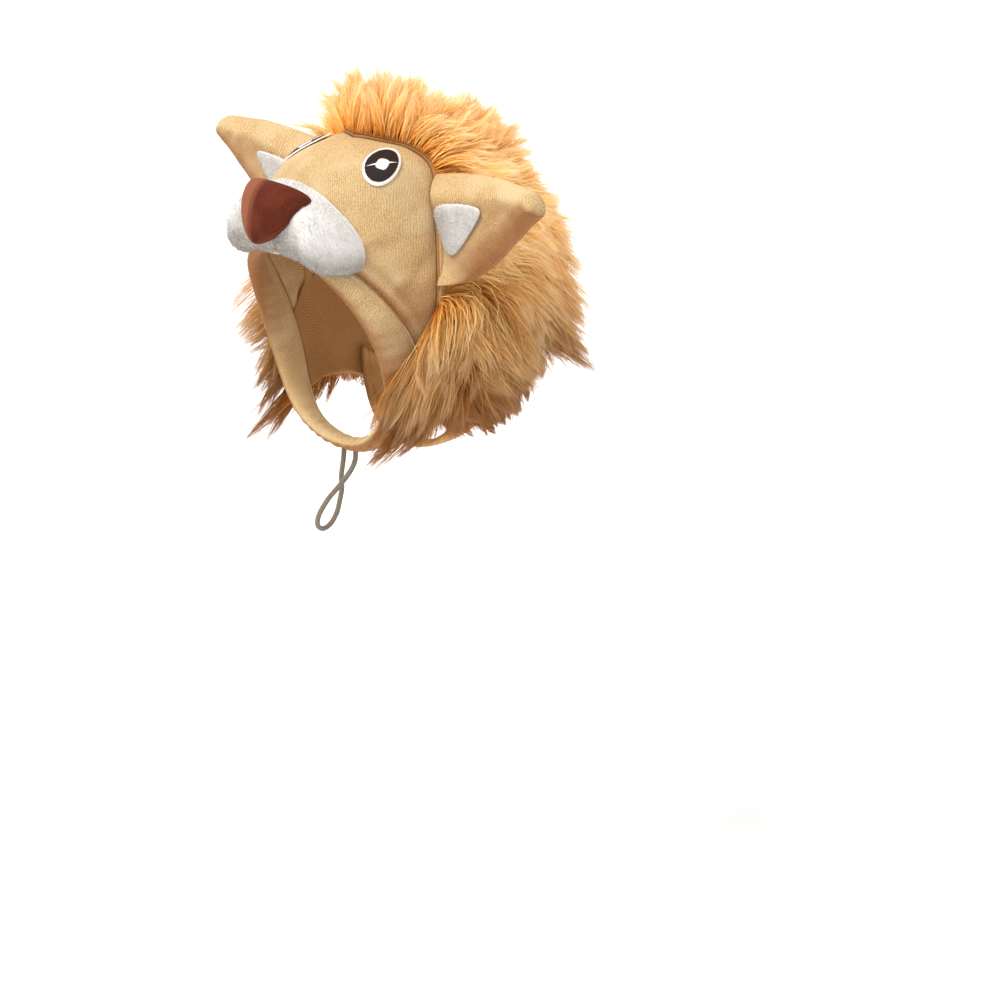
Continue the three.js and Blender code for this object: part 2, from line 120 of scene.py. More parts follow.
def grid_faces(rows, cols, loop_rows, loop_cols):
    """Row and column numbers of each quad's corners; past the last row or column they run on."""
    r, c = np.meshgrid(
        np.arange(rows if loop_rows else rows - 1),
        np.arange(cols if loop_cols else cols - 1),
        indexing="ij",
    )
    corner_rows = np.stack([r, r, r + 1, r + 1], -1).reshape(-1, 4)
    corner_cols = np.stack([c, c + 1, c + 1, c], -1).reshape(-1, 4)
    return corner_rows, corner_cols


def wall(name, outer, inner, uv):
    """A closed wall between two like grids of points, joined along their edges."""
    rows, cols = outer.shape[:2]
    points = np.concatenate([outer, inner[::-1]])
    corner_rows, corner_cols = grid_faces(2 * rows, cols, True, False)
    both = np.concatenate([uv, uv[::-1], uv[:1]])
    k = np.arange(rows - 1)
    cap = np.stack([k, k + 1, 2 * rows - 2 - k, 2 * rows - 1 - k], -1)
    index = (corner_rows % (2 * rows)) * cols + corner_cols
    faces = [index, cap * cols, cap[:, ::-1] * cols + cols - 1]
    layers = [both[corner_rows, corner_cols], both[cap, 0], both[cap[:, ::-1], cols - 1]]
    return make_mesh(name, points.reshape(-1, 3), faces, {"cloth": layers})


def ball(name, points, uv):
    """A closed form from a grid whose first and last rows shrink to poles; columns run round."""
    rows, cols = points.shape[:2]
    middle = points[1:-1].reshape(-1, 3)
    poles = points[[0, -1], 0]
    corner_rows, corner_cols = grid_faces(rows - 2, cols, False, True)
    quads = corner_rows * cols + corner_cols % cols
    k = np.arange(cols)
    last = (rows - 3) * cols
    first_pole, last_pole = len(middle), len(middle) + 1
    near = np.stack([np.full(cols, first_pole), (k + 1) % cols, k], -1)
    far = np.stack([np.full(cols, last_pole), last + k, last + (k + 1) % cols], -1)
    near_uv = np.stack([uv[0, k], uv[1, k + 1], uv[1, k]], 1)
    far_uv = np.stack([uv[-1, k], uv[-2, k], uv[-2, k + 1]], 1)
    quads_uv = uv[corner_rows + 1, corner_cols]
    return make_mesh(
        name, np.concatenate([middle, poles]), [quads, near, far], {"cloth": [quads_uv, near_uv, far_uv]}
    )


def triangle_corners(mesh):
    """The first, second and third corners of all of a mesh's triangles."""
    mesh.calc_loop_triangles()
    points = np.empty(3 * len(mesh.vertices), dtype=np.float32)
    mesh.vertices.foreach_get("co", points)
    corners = np.empty(3 * len(mesh.loop_triangles), dtype=np.int32)
    mesh.loop_triangles.foreach_get("vertices", corners)
    return points.reshape(-1, 3)[corners.reshape(-1, 3)].transpose(1, 0, 2)


def face_outwards(piece):
    """Turns the faces of a closed mesh round if its signed volume is below nought."""
    a, b, c = triangle_corners(piece.data)
    if np.einsum("ij,ij->", a, np.cross(b, c)) < 0:
        piece.data.flip_normals()
    return piece


def carve(piece, *tools):
    """Cuts closed forms out of a closed piece and keeps the result as its own mesh."""
    for tool in tools:
        cut = piece.modifiers.new("cut", "BOOLEAN")
        cut.operation = "DIFFERENCE"
        cut.solver = "EXACT"
        cut.object = tool
    shown = piece.evaluated_get(bpy.context.evaluated_depsgraph_get())
    mesh = bpy.data.meshes.new_from_object(shown)
    mesh.name = piece.name
    piece.modifiers.clear()
    piece.data = mesh
    mesh.shade_smooth()
    return piece


def unit(vectors):
    """The vectors scaled to length one."""
    return vectors / np.linalg.norm(vectors, axis=-1, keepdims=True)


def smoothstep(value, low, high):
    """A soft step from 0 at low to 1 at high."""
    share = np.clip((value - low) / (high - low), 0.0, 1.0)
    return share * share * (3 - 2 * share)


def blend(a, b, share):
    """The value between a and b at a share."""
    return a + (b - a) * share


def signed_power(value, power):
    """A power of the size with the sign kept."""
    return np.sign(value) * np.abs(value) ** power


def polar_grid(rows, cols):
    """Angles from one pole to the other down the rows, and round it along the columns."""
    return np.meshgrid(
        np.linspace(0, np.pi, rows), np.linspace(0, 2 * np.pi, cols, endpoint=False), indexing="ij"
    )


def round_edge(distance, radius):
    """A wall's thickness share near its edge: a quarter circle of the radius, then 1."""
    return np.sqrt(np.clip(1 - (1 - np.clip(distance / radius, 0, 1)) ** 2, 0, 1))


def waves(points, wavelength, seed, count=10):
    """A smooth random value from -1 to 1 at each point: the mean of sine waves of about one
    wavelength that run in random directions."""
    rng = np.random.default_rng(seed)
    runs = unit(rng.normal(size=(count, 3))) / (wavelength * rng.uniform(0.7, 1.6, (count, 1)))
    starts = rng.uniform(0, 2 * np.pi, count)
    return np.sin(points @ (2 * np.pi * runs.T) + starts).mean(-1) * np.sqrt(count) * 0.7


def curve_at(values, at):
    """Values of a table's column, or of all its columns, at fractional rows: a Catmull-Rom
    curve through the rows, straight past both ends."""
    values = np.asarray(values, dtype=float)
    at = np.asarray(at, dtype=float)
    i = np.clip(np.floor(at).astype(int), 0, len(values) - 2)
    f = at - i
    if values.ndim > 1:
        f = f[..., None]
    longer = np.concatenate([[2 * values[0] - values[1]], values, [2 * values[-1] - values[-2]]])
    before, a, b, after = (longer[i + k] for k in range(4))
    return a + 0.5 * f * (b - before + f * (2 * before - 5 * a + 4 * b - after
                                            + f * (3 * (a - b) + after - before)))


# %% [markdown]
# ## The hood's surface
#
# On the real hat the face panel, the fur and the rim are sewn edge to edge into one hood. Here
# they share one surface. A ring is a closed curve round the head, numbered from the free edge
# of the rim, and a turn goes round it from the top.

# %% Hood sizes and surface
HOOD_LENGTH = 128 * MM
HOOD_HEIGHT = 156 * MM
HOOD_WIDTH = 108 * MM
SQUARENESS = 0.02
VELOUR_WALL = 2.4 * MM
BACKING_WALL = 2.0 * MM
PIECE_GAP = 0.3 * MM
RIM_THICKNESS = 6.0 * MM
RIM_GIRTH = 8 * RIM_THICKNESS
HOOD_RINGS = np.array([
    # top y, top z, bottom y, bottom z, half width, setback of the sides
    (-0.510, -0.318, -0.262, -0.936, 0.422, 0.066),
    (-0.468, -0.270, -0.172, -0.952, 0.458, 0.145),
    (-0.452, -0.160, -0.117, -0.965, 0.480, 0.150),
    (-0.340, -0.060, -0.078, -0.976, 0.490, 0.125),
    (-0.160, -0.008, -0.031, -0.986, 0.498, 0.085),
    (0.050, 0.013, 0.015, -0.994, 0.500, 0.050),
    (0.262, -0.056, 0.055, -1.000, 0.490, 0.026),
    (0.415, -0.210, 0.094, -1.000, 0.470, 0.004),
    (0.480, -0.420, 0.125, -0.992, 0.440, -0.016),
])
FACE_RING = 1.0
NECK_RING = 8.0
CHEEK_TURN = np.radians(88)
MANE_END = np.radians(127.5)
SEAM_MARGIN = 0.03
SEAM_TURNS = np.radians([0, 14, 26, 38, 52, 66, 78, 88])
SEAM_RINGS = np.array([3.94, 4.14, 4.44, 4.54, 4.22, 3.74, 3.24, 2.62])
SIDES = {1: "left", -1: "right"}


def hood_face(ring, turn):
    """Points of the hood's outer face. Across and up follow sine and cosine of the turn, with
    a little of the third harmonic; y and z run between the ring's bottom and top, and the
    sides are set back by the cube of the sine."""
    ring, turn = np.broadcast_arrays(np.asarray(ring, float), np.asarray(turn, float))
    top_y, top_z, bottom_y, bottom_z, half, setback = np.moveaxis(curve_at(HOOD_RINGS, ring), -1, 0)
    across = (np.sin(turn) + SQUARENESS * np.sin(3 * turn)) / (1 - SQUARENESS)
    share = (1 + (np.cos(turn) - SQUARENESS * np.cos(3 * turn)) / (1 - SQUARENESS)) / 2
    set_back = setback * np.abs(np.sin(turn)) ** 3
    return np.stack([
        across * half * HOOD_WIDTH,
        (blend(bottom_y, top_y, share) + set_back) * HOOD_LENGTH,
        blend(bottom_z, top_z, share) * HOOD_HEIGHT,
    ], -1)


def hood_frame(ring, turn, step=0.02):
    """Unit directions at points of the hood: back to the neck, round it, and outwards."""
    back = unit(hood_face(ring + step, turn) - hood_face(ring - step, turn))
    round_ = unit(hood_face(ring, turn + step) - hood_face(ring, turn - step))
    return back, round_, unit(np.cross(round_, back))


def hood_point(ring, turn, distance):
    """Points at a distance outside the hood's face."""
    distance = np.broadcast_to(distance, np.broadcast(ring, turn, distance).shape)
    return hood_face(ring, turn) + hood_frame(ring, turn)[2] * distance[..., None]


def seam_ring(turn):
    """The ring of the seam between face and mane at each turn."""
    inside = np.minimum(np.abs(turn), CHEEK_TURN)
    return curve_at(SEAM_RINGS, np.interp(inside, SEAM_TURNS, np.arange(len(SEAM_TURNS))))


def mane_start(turn):
    """The ring where the fur starts: the seam, or the rim below the cheeks."""
    return np.where(np.abs(turn) < CHEEK_TURN, seam_ring(turn), FACE_RING)


def arc_lengths(points, axis=0):
    """The distance along grid lines from their first point."""
    steps = np.linalg.norm(np.diff(points, axis=axis), axis=-1)
    start = np.zeros_like(np.take(steps, [0], axis=axis))
    return np.concatenate([start, np.cumsum(steps, axis=axis)], axis=axis)


def hood_uv(turn, base):
    """UVs in metres: round the hood by the turn, and down it along the surface."""
    return np.stack([turn * HOOD_WIDTH / 2, arc_lengths(base)], -1)


print("crown at", np.round(hood_face(5, 0) / MM, 1), "mm")

# %% [markdown]
# ## Materials
#
# All the cloth is short or long pile, so no surface is plain: velour shows single tufts about
# half a millimetre wide, rows of the knit below it and brushed patches; the embroidery shows
# its threads; each strand of fur runs from a dark root to a pale tip, and the dark root is partly
# painted shade deep in the pile. Patterns are made by nodes from object or UV coordinates in
# metres, which keeps their size real on every piece.


# %% Material helpers
def colour(code):
    """A colour for a shader: an sRGB hex code turned to linear light."""
    value = np.array([int(code[i:i + 2], 16) for i in (1, 3, 5)]) / 255
    linear = np.where(value <= 0.04045, value / 12.92, ((value + 0.055) / 1.055) ** 2.4)
    return (*linear.tolist(), 1.0)


def node(tree, kind, inputs=None, **settings):
    """Adds a node. Each input is a value or the output that feeds it."""
    made = tree.nodes.new(kind)
    for key, value in settings.items():
        setattr(made, key, value)
    for key, value in (inputs or {}).items():
        if isinstance(value, bpy.types.NodeSocket):
            tree.links.new(value, made.inputs[key])
        else:
            made.inputs[key].default_value = value
    return made


def new_material(name, **numbers):
    """A material with its main shader's numbers set, and its node tree."""
    material = bpy.data.materials.new(name)
    material.use_nodes = True
    shader = material.node_tree.nodes["Principled BSDF"]
    for key, value in numbers.items():
        shader.inputs[key.replace("_", " ").title().replace("Ior", "IOR")].default_value = value
    return material, material.node_tree, shader


def noise(tree, size, detail=2.0, roughness=0.5):
    """A noise value whose spots are about one size across, in metres."""
    where = node(tree, "ShaderNodeTexCoord").outputs["Object"]
    inputs = {"Vector": where, "Scale": 1 / size, "Detail": detail, "Roughness": roughness}
    return node(tree, "ShaderNodeTexNoise", inputs).outputs["Fac"]


def math(tree, operation, a, b=0.0):
    """One step of arithmetic."""
    return node(tree, "ShaderNodeMath", {0: a, 1: b}, operation=operation).outputs[0]


def spread(tree, value, low, high, to_low=0.0, to_high=1.0):
    """A value moved from one range to another, kept inside it."""
    inputs = {"Value": value, "From Min": low, "From Max": high, "To Min": to_low, "To Max": to_high}
    return node(tree, "ShaderNodeMapRange", inputs).outputs["Result"]


def mix(tree, share, a, b):
    """The colour between a and b."""
    made = node(tree, "ShaderNodeMix", {0: share, 6: a, 7: b}, data_type="RGBA")
    return made.outputs[2]


def uv_parts(tree, layer):
    """The two coordinates of a UV layer."""
    where = node(tree, "ShaderNodeUVMap", uv_map=layer).outputs["UV"]
    split = node(tree, "ShaderNodeSeparateXYZ", {0: where})
    return split.outputs["X"], split.outputs["Y"]


def bump(tree, height, depth, strength):
    """A normal from a height from 0 to 1, that many metres deep."""
    inputs = {"Height": height, "Distance": depth, "Strength": strength}
    return node(tree, "ShaderNodeBump", inputs).outputs["Normal"]


def stripes(tree, value, pitch):
    """A soft wave from 0 to 1 of one pitch, in metres, along a coordinate."""
    wave = math(tree, "SINE", math(tree, "MULTIPLY", value, 2 * np.pi / pitch))
    return spread(tree, wave, -1.0, 1.0)


def pile_cloth(name, dark, middle, light, tuft_mm, patch_mm, row_mm, bump_mm, sheen, under="#FFFFFF"):
    """Short pile: tufts, brushed patches and the slanting rows of the knit under it. Cloth that
    faces down is tinted by its painted shade colour, a painted shade on its underside."""
    material, tree, shader = new_material(
        name, roughness=0.92, specular_ior_level=0.2, sheen_weight=sheen, sheen_roughness=0.45,
        sheen_tint=colour(light),
    )
    tufts = noise(tree, tuft_mm * MM, 3.0, 0.6)
    patches = noise(tree, patch_mm * MM, 2.0, 0.45)
    u, v = uv_parts(tree, "cloth")
    wobble = math(tree, "MULTIPLY", noise(tree, 5 * MM), 2.0 * row_mm * MM)
    slant = math(tree, "ADD", math(tree, "ADD", u, math(tree, "MULTIPLY", v, 0.7)), wobble)
    rows = stripes(tree, slant, row_mm * MM)
    grain = math(tree, "ADD", math(tree, "MULTIPLY", tufts, 0.86), math(tree, "MULTIPLY", rows, 0.14))
    body = mix(tree, spread(tree, grain, 0.38, 0.60), colour(dark), colour(middle))
    lit = mix(tree, spread(tree, patches, 0.42, 0.68, 0.0, 0.4), body, colour(light))
    # Painted shade: cloth that faces down is tinted towards the darker colour.
    shade_by_facing = node(tree, "ShaderNodeAttribute", attribute_name="shade_by_facing").outputs["Fac"]
    tint = mix(tree, shade_by_facing, colour(under), colour("#FFFFFF"))
    tinted = node(tree, "ShaderNodeVectorMath", {0: lit, 1: tint}, operation="MULTIPLY").outputs[0]
    tree.links.new(tinted, shader.inputs["Base Color"])
    tree.links.new(bump(tree, grain, bump_mm * MM, 0.8), shader.inputs["Normal"])
    return material


# %% Cloth materials
# The last colour of tan velour is a painted shade for cloth that faces down.
tan_velour = pile_cloth("tan velour, tufts 0.6 mm", "#B38C5A", "#D9BB8B", "#DFCCA6",
                        tuft_mm=0.6, patch_mm=16, row_mm=1.2, bump_mm=0.45, sheen=0.3, under="#BC9680")
strap_velour = pile_cloth("tan strap velour, tufts 0.6 mm", "#A07442", "#C4945F", "#D0A372",
                          tuft_mm=0.6, patch_mm=9, row_mm=1.2, bump_mm=0.45, sheen=0.3)
# The last colour of white plush is a painted shade for cloth that faces down.
white_plush = pile_cloth("white plush, tufts 0.8 mm", "#D6D4D0", "#E8E6E3", "#F0EEEB",
                         tuft_mm=0.8, patch_mm=8, row_mm=2.0, bump_mm=0.35, sheen=0.25, under="#C5C0BC")
brown_velour = pile_cloth("red-brown velour, tufts 0.5 mm", "#431809", "#692B19", "#7C3A24",
                          tuft_mm=0.5, patch_mm=12, row_mm=1.2, bump_mm=0.5, sheen=0.2)
backing_knit = pile_cloth("tan backing knit, rows 1.2 mm", "#96693C", "#B28452", "#C09362",
                          tuft_mm=0.4, patch_mm=20, row_mm=1.2, bump_mm=0.2, sheen=0.1)
RIGHT_HALF_START, RIGHT_HALF_END = 1.5 * MM, -2.5 * MM


def lighten_right_half(material, code, share):
    """Mixes a paler colour into the right half of the piece, across a soft edge near the middle."""
    tree = material.node_tree
    base = tree.nodes["Principled BSDF"].inputs["Base Color"]
    where = node(tree, "ShaderNodeTexCoord").outputs["Object"]
    x = node(tree, "ShaderNodeSeparateXYZ", {0: where}).outputs["X"]
    brushed = spread(tree, x, RIGHT_HALF_START, RIGHT_HALF_END, 0.0, share)
    lit = mix(tree, brushed, base.links[0].from_socket, colour(code))
    tree.links.new(lit, base)


lighten_right_half(brown_velour, "#A4664A", 0.65)

# %% [markdown]
# ## Embroidered eyes, fur and cord
#
# The eyes are satin stitch: a white outline round a dark brown field, with a white highlight
# and a thin glint through it. The drawing is worked out from the distance to the eye's middle,
# and fine ribs show the thread. The fur and the cord read their own UVs, so that a strand
# knows how far along itself it is.

# %% Eye, fur and cord materials
EYE_LENGTH = 26 * MM
EYE_WIDTH = 15.4 * MM
GLINT_LEAN = np.radians(38)
CROWN_GLOW = 0.11


def eye_material():
    """Outline, field, highlight and glint, drawn by distance in the eye's own plane."""
    material, tree, shader = new_material("embroidery thread, stitches 0.4 mm", roughness=0.6,
                                          specular_ior_level=0.25)
    a, b = uv_parts(tree, "cloth")
    jagged = math(tree, "MULTIPLY", math(tree, "SUBTRACT", noise(tree, 0.5 * MM), 0.5), 0.07)
    wide = math(tree, "POWER", math(tree, "DIVIDE", a, EYE_WIDTH / 2), 2.0)
    tall = math(tree, "POWER", math(tree, "DIVIDE", b, EYE_LENGTH / 2), 2.0)
    reach = math(tree, "ADD", math(tree, "SQRT", math(tree, "ADD", wide, tall)), jagged)
    field = mix(tree, noise(tree, 0.45 * MM, 3.0), colour("#0E0806"), colour("#2E1E17"))
    outline = spread(tree, reach, 0.85, 0.88)
    drawn = mix(tree, outline, field, colour("#F4F1EC"))
    box = []
    for value, middle, half in ((a, 0.4 * MM, 2.5 * MM), (b, -0.3 * MM, 3.6 * MM)):
        share = math(tree, "DIVIDE", math(tree, "SUBTRACT", value, middle), half)
        box.append(math(tree, "ABSOLUTE", math(tree, "POWER", share, 3.0)))
    highlight = spread(tree, math(tree, "ADD", *box), 1.15, 0.85)
    run_a, run_b = np.cos(GLINT_LEAN), np.sin(GLINT_LEAN)
    along = math(tree, "ADD", math(tree, "MULTIPLY", a, run_a), math(tree, "MULTIPLY", b, run_b))
    off = math(tree, "SUBTRACT", math(tree, "MULTIPLY", a, run_b), math(tree, "MULTIPLY", b, run_a))
    taper = spread(tree, math(tree, "ABSOLUTE", along), 2.0 * MM, 7.2 * MM, 0.6 * MM, 0.0)
    glint = spread(tree, math(tree, "SUBTRACT", math(tree, "ABSOLUTE", off), taper), 0.05 * MM, -0.05 * MM)
    white = math(tree, "MAXIMUM", highlight, glint)
    drawn = mix(tree, white, drawn, colour("#F6F4F0"))
    tree.links.new(drawn, shader.inputs["Base Color"])
    threads = stripes(tree, math(tree, "ADD", a, math(tree, "MULTIPLY", b, 0.35)), 0.42 * MM)
    tree.links.new(bump(tree, threads, 0.12 * MM, 0.8), shader.inputs["Normal"])
    return material


def fur_material():
    """Long acrylic pile: dark root, golden length and pale tip, each strand its own tone; the dark
    root is partly painted shade deep in the pile. The lower mane is painted darker, a painted
    shade, and a faint painted glow on the crown stands for the light that passes through the thin strands."""
    material, tree, shader = new_material("orange acrylic pile, strands 0.3 mm", roughness=0.5,
                                          specular_ior_level=0.2, sheen_weight=0.35,
                                          sheen_roughness=0.5, sheen_tint=colour("#FFC870"))
    shade, along = uv_parts(tree, "strand")
    tuft, height = uv_parts(tree, "tuft")
    # The ramp runs from a dark root, partly painted shade deep in the pile, to a pale tip.
    ramp = node(tree, "ShaderNodeValToRGB", {"Fac": along})
    stops = ramp.color_ramp.elements
    stops[0].position, stops[0].color = 0.0, colour("#C06A18")
    stops[1].position, stops[1].color = 1.0, colour("#FFEDC4")
    for position, code in ((0.15, "#F8A63C"), (0.38, "#FFC668"), (0.70, "#FFDA94")):
        stops.new(position).color = colour(code)
    pale = mix(tree, spread(tree, shade, 0.68, 1.0, 0.0, 0.7), ramp.outputs["Color"], colour("#FFE8B4"))
    deep = mix(tree, spread(tree, shade, 0.30, 0.0, 0.0, 0.7), pale, colour("#D4862E"))
    clump = mix(tree, spread(tree, tuft, 0.55, 0.0, 0.0, 0.4), deep, colour("#E8983C"))
    # Painted shade: the lower a strand's root sits on the hood, the darker its fur.
    low = mix(tree, spread(tree, height, 0.70, 0.28, 0.0, 0.84), clump, colour("#96500E"))
    high = spread(tree, height, 0.45, 0.85, 0.0, CROWN_GLOW)
    through = math(tree, "MULTIPLY", spread(tree, along, 0.1, 0.7), high)
    tree.links.new(low, shader.inputs["Base Color"])
    tree.links.new(low, shader.inputs["Emission Color"])
    tree.links.new(through, shader.inputs["Emission Strength"])
    return material


def braid_material():
    """Braided cord: two sets of yarns that cross at a slant."""
    material, tree, shader = new_material("taupe braided elastic, yarns 0.8 mm", roughness=0.65,
                                          specular_ior_level=0.4, sheen_weight=0.2)
    turn, along = uv_parts(tree, "cloth")
    one = stripes(tree, math(tree, "ADD", along, turn), 0.9 * MM)
    two = stripes(tree, math(tree, "SUBTRACT", along, turn), 0.9 * MM)
    yarns = math(tree, "MAXIMUM", one, two)
    shade = mix(tree, spread(tree, yarns, 0.3, 1.0), colour("#5E5345"), colour("#86796A"))
    speckled = mix(tree, spread(tree, noise(tree, 0.4 * MM), 0.3, 0.8, 0.0, 0.5), shade, colour("#A0947F"))
    tree.links.new(speckled, shader.inputs["Base Color"])
    tree.links.new(bump(tree, yarns, 0.25 * MM, 0.9), shader.inputs["Normal"])
    return material


eye_thread = eye_material()
orange_fur = fur_material()
cord_braid = braid_material()

# %% [markdown]
# ## Dressing a piece
#
# Cloth that faces down is painted darker, a painted shade for the light from above. Each point
# keeps how far it faces up, worked out from its normal, and the cloth materials read it.

# %% Dressing
SHADE_FACING_LOW, SHADE_FACING_HIGH = -0.40, 0.35


def store_shade_by_facing(piece, normals):
    """Keeps how far each point faces up, from 0 to 1, for the painted shade of the pile."""
    layer = piece.data.attributes.new("shade_by_facing", "FLOAT", "POINT")
    layer.data.foreach_set("value", smoothstep(normals[:, 2], SHADE_FACING_LOW, SHADE_FACING_HIGH).astype(np.float32))


def dress(piece, slot_name, material, *nodes):
    """Gives a piece its material, keeps how far its cloth faces up for the painted shade, hangs it on
    the root body and hides the model's parts that it stands for. Its slot name is not used.
    """
    if "cloth" in piece.data.uv_layers and "shade_by_facing" not in piece.data.attributes:
        normals = np.empty(3 * len(piece.data.vertices), dtype=np.float32)
        piece.data.vertices.foreach_get("normal", normals)
        store_shade_by_facing(piece, normals.reshape(-1, 3))
    piece.data.materials.clear()
    piece.data.materials.append(material)
    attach(piece, "root")
    if nodes:
        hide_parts(*nodes)
    print(piece.name, "faces", len(piece.data.polygons))
    return piece


# %% [markdown]
# ## Face panel and rim
#
# The face is one panel of velour from the rim to the fur. Its front edge is rolled under, so it
# stands a little proud there; it dips where it is sewn to the fur and puckers beside the
# muzzle. The rim is a padded cuff with the drawcord in a channel near its free edge, which
# gathers the cloth towards the throat.

# %% Face panel and rim
EDGE_ROUNDING = 1.8 * MM
RING_STEP = 16 * MM
RIM_SEAM = 0.008
TEMPLE_TURN, TEMPLE_RING = np.radians(34), 3.64
TEMPLE_HEIGHT, TEMPLE_WIDE, TEMPLE_LONG = 2.8 * MM, 9 * MM, 10 * MM
FACE_FOLDS = (
    # turn in degrees, ring, half length mm, half width mm, slant in degrees, depth mm
    (46, 2.05, 11, 2.2, 62, 0.55),
    (56, 2.45, 10, 2.4, 70, -0.40),
    (66, 1.95, 9, 2.0, 78, 0.45),
    (33, 2.35, 9, 1.8, 35, -0.35),
    (70, 3.05, 12, 2.6, 96, -0.55),
    (52, 3.75, 10, 3.0, 110, -0.60),
    (12, 2.60, 10, 2.4, 12, -0.30),
)


def temple_swell(ring, turn):
    """The soft swelling of the face beside each eye, which turns the eyes to the front."""
    x = (np.abs(turn) - TEMPLE_TURN) * HOOD_WIDTH / 2
    y = (ring - TEMPLE_RING) * RING_STEP
    return TEMPLE_HEIGHT * np.exp(-(x / TEMPLE_WIDE) ** 2 - (y / TEMPLE_LONG) ** 2)


def panel_relief(turn, ring, base, from_rim, to_seam):
    """Height of the face cloth over the plain surface: a roll at the rim, a dip at the seam,
    soft unevenness, and folds that are each a long Gaussian at a slant."""
    relief = 0.8 * np.exp(-((from_rim - 3.2 * MM) / (2.6 * MM)) ** 2)
    relief -= 0.7 * np.exp(-(to_seam / (3.2 * MM)) ** 2)
    relief += 0.32 * waves(base, 34 * MM, 3) + 0.10 * waves(base, 11 * MM, 4)
    for degrees, at_ring, long, narrow, slant, depth in FACE_FOLDS:
        x = (np.abs(turn) - np.radians(degrees)) * HOOD_WIDTH / 2
        y = (ring - at_ring) * RING_STEP
        lean = np.radians(slant)
        along = x * np.cos(lean) + y * np.sin(lean)
        across = y * np.cos(lean) - x * np.sin(lean)
        relief += depth * np.exp(-(along / (long * MM)) ** 2 - (across / (narrow * MM)) ** 2)
    return relief * MM + temple_swell(ring, turn)


def face_panel(cols=181, rows=81):
    """The velour panel between the rim and the mane."""
    turn, share = np.meshgrid(np.linspace(-CHEEK_TURN, CHEEK_TURN, cols), np.linspace(0, 1, rows))
    ring = blend(FACE_RING, seam_ring(turn), share)
    base = hood_face(ring, turn)
    from_rim = arc_lengths(base)
    to_seam = from_rim[-1:] - from_rim
    to_side = (CHEEK_TURN - np.abs(turn)) * HOOD_WIDTH / 2
    full = round_edge(np.minimum(np.minimum(from_rim, to_seam), to_side), EDGE_ROUNDING)
    half = VELOUR_WALL / 2
    relief = panel_relief(turn, ring, base, from_rim, to_seam) * full
    outer = hood_point(ring, turn, half * full - half + relief)
    inner = hood_point(ring, turn, -half * full - half + relief * 0.6)
    return face_outwards(wall("face_cloth", outer, inner, hood_uv(turn, base)))


def rim_surface(grow=0.0, cols=240, rows=44, soft=True):
    """The padded cuff's closed surface: an oval section that runs from the free edge to the
    panel, thick in the middle, with a sewn channel and gathers in it."""
    turn, angle = np.meshgrid(
        np.linspace(0, 2 * np.pi, cols, endpoint=False), np.linspace(0, 2 * np.pi, rows, endpoint=False)
    )
    from_edge = 0.5 + 0.5 * signed_power(np.cos(angle), 0.7)
    ring = (FACE_RING - RIM_SEAM) * (1 - from_edge)
    height = np.sin(angle) * (RIM_THICKNESS / 2 + grow)
    if soft:
        base = hood_face(ring, turn)
        throat = smoothstep(np.abs(np.pi - turn), 1.2, 0.2)
        gathers = np.sin(turn * 46 + 1.5 * np.sin(turn * 9)) * (0.10 + 0.45 * throat)
        sewn = 0.5 * np.exp(-((from_edge - 0.2) / 0.05) ** 2)
        swell = 0.35 * waves(base, 22 * MM, 8) + gathers * from_edge - sewn
        height += MM * swell * np.sin(angle)
    return hood_point(ring, turn, height - VELOUR_WALL / 2)


def closed_ring(name, points):
    """A closed tube from a grid whose rows and columns both run round."""
    rows, cols = points.shape[:2]
    corner_rows, corner_cols = grid_faces(rows, cols, True, True)
    index = (corner_rows % rows) * cols + corner_cols % cols
    u = corner_cols * (2 * np.pi / cols) * HOOD_WIDTH / 2
    v = corner_rows * (RIM_GIRTH / rows)
    layers = {"cloth": [np.stack([u, v], -1)]}
    return face_outwards(make_mesh(name, points.reshape(-1, 3), [index], layers))


face_cloth = dress(face_panel(), "tan_velour", tan_velour, "face_panel")
rim_cloth = dress(closed_ring("rim_cloth", rim_surface()), "tan_velour", tan_velour, "face_rim")

# %% [markdown]
# ## Tools that keep neighbours apart
#
# The muzzle, the nose and the ears are stuffed forms sewn onto the hood. Each is modelled whole
# and then cut along the surface that it sits on, with the gap that the frame leaves, so its
# back fits the hood exactly.

# %% Hood core and rim space
FACET_SLACK = 0.2 * MM


def hood_core(distance, cols=120, rows=42):
    """The hood filled up to a distance from its face, as a closed form."""
    turn, share = np.meshgrid(np.linspace(0, 2 * np.pi, cols, endpoint=False), np.linspace(0, 1, rows))
    ring = blend(FACE_RING + 0.03, NECK_RING, share)
    shell = hood_point(ring, turn, distance)
    first = np.broadcast_to(shell[0].mean(0), (1, cols, 3))
    last = np.broadcast_to(shell[-1].mean(0), (1, cols, 3))
    points = np.concatenate([first, shell, last])
    return face_outwards(ball("hood_core", points, np.zeros((rows + 2, cols + 1, 2))))


core = hood_core(PIECE_GAP + FACET_SLACK)
rim_space = closed_ring("rim_space", rim_surface(PIECE_GAP + FACET_SLACK, 120, 24, False))

# %% [markdown]
# ## Muzzle and nose
#
# The muzzle is a stuffed white plush band with a round lobe on each side and an arch below.
# The nose is red-brown velour over stuffing: two halves meet in a crease down its middle, and
# its lower edges are sewn down with a narrow roll outside the stitches.

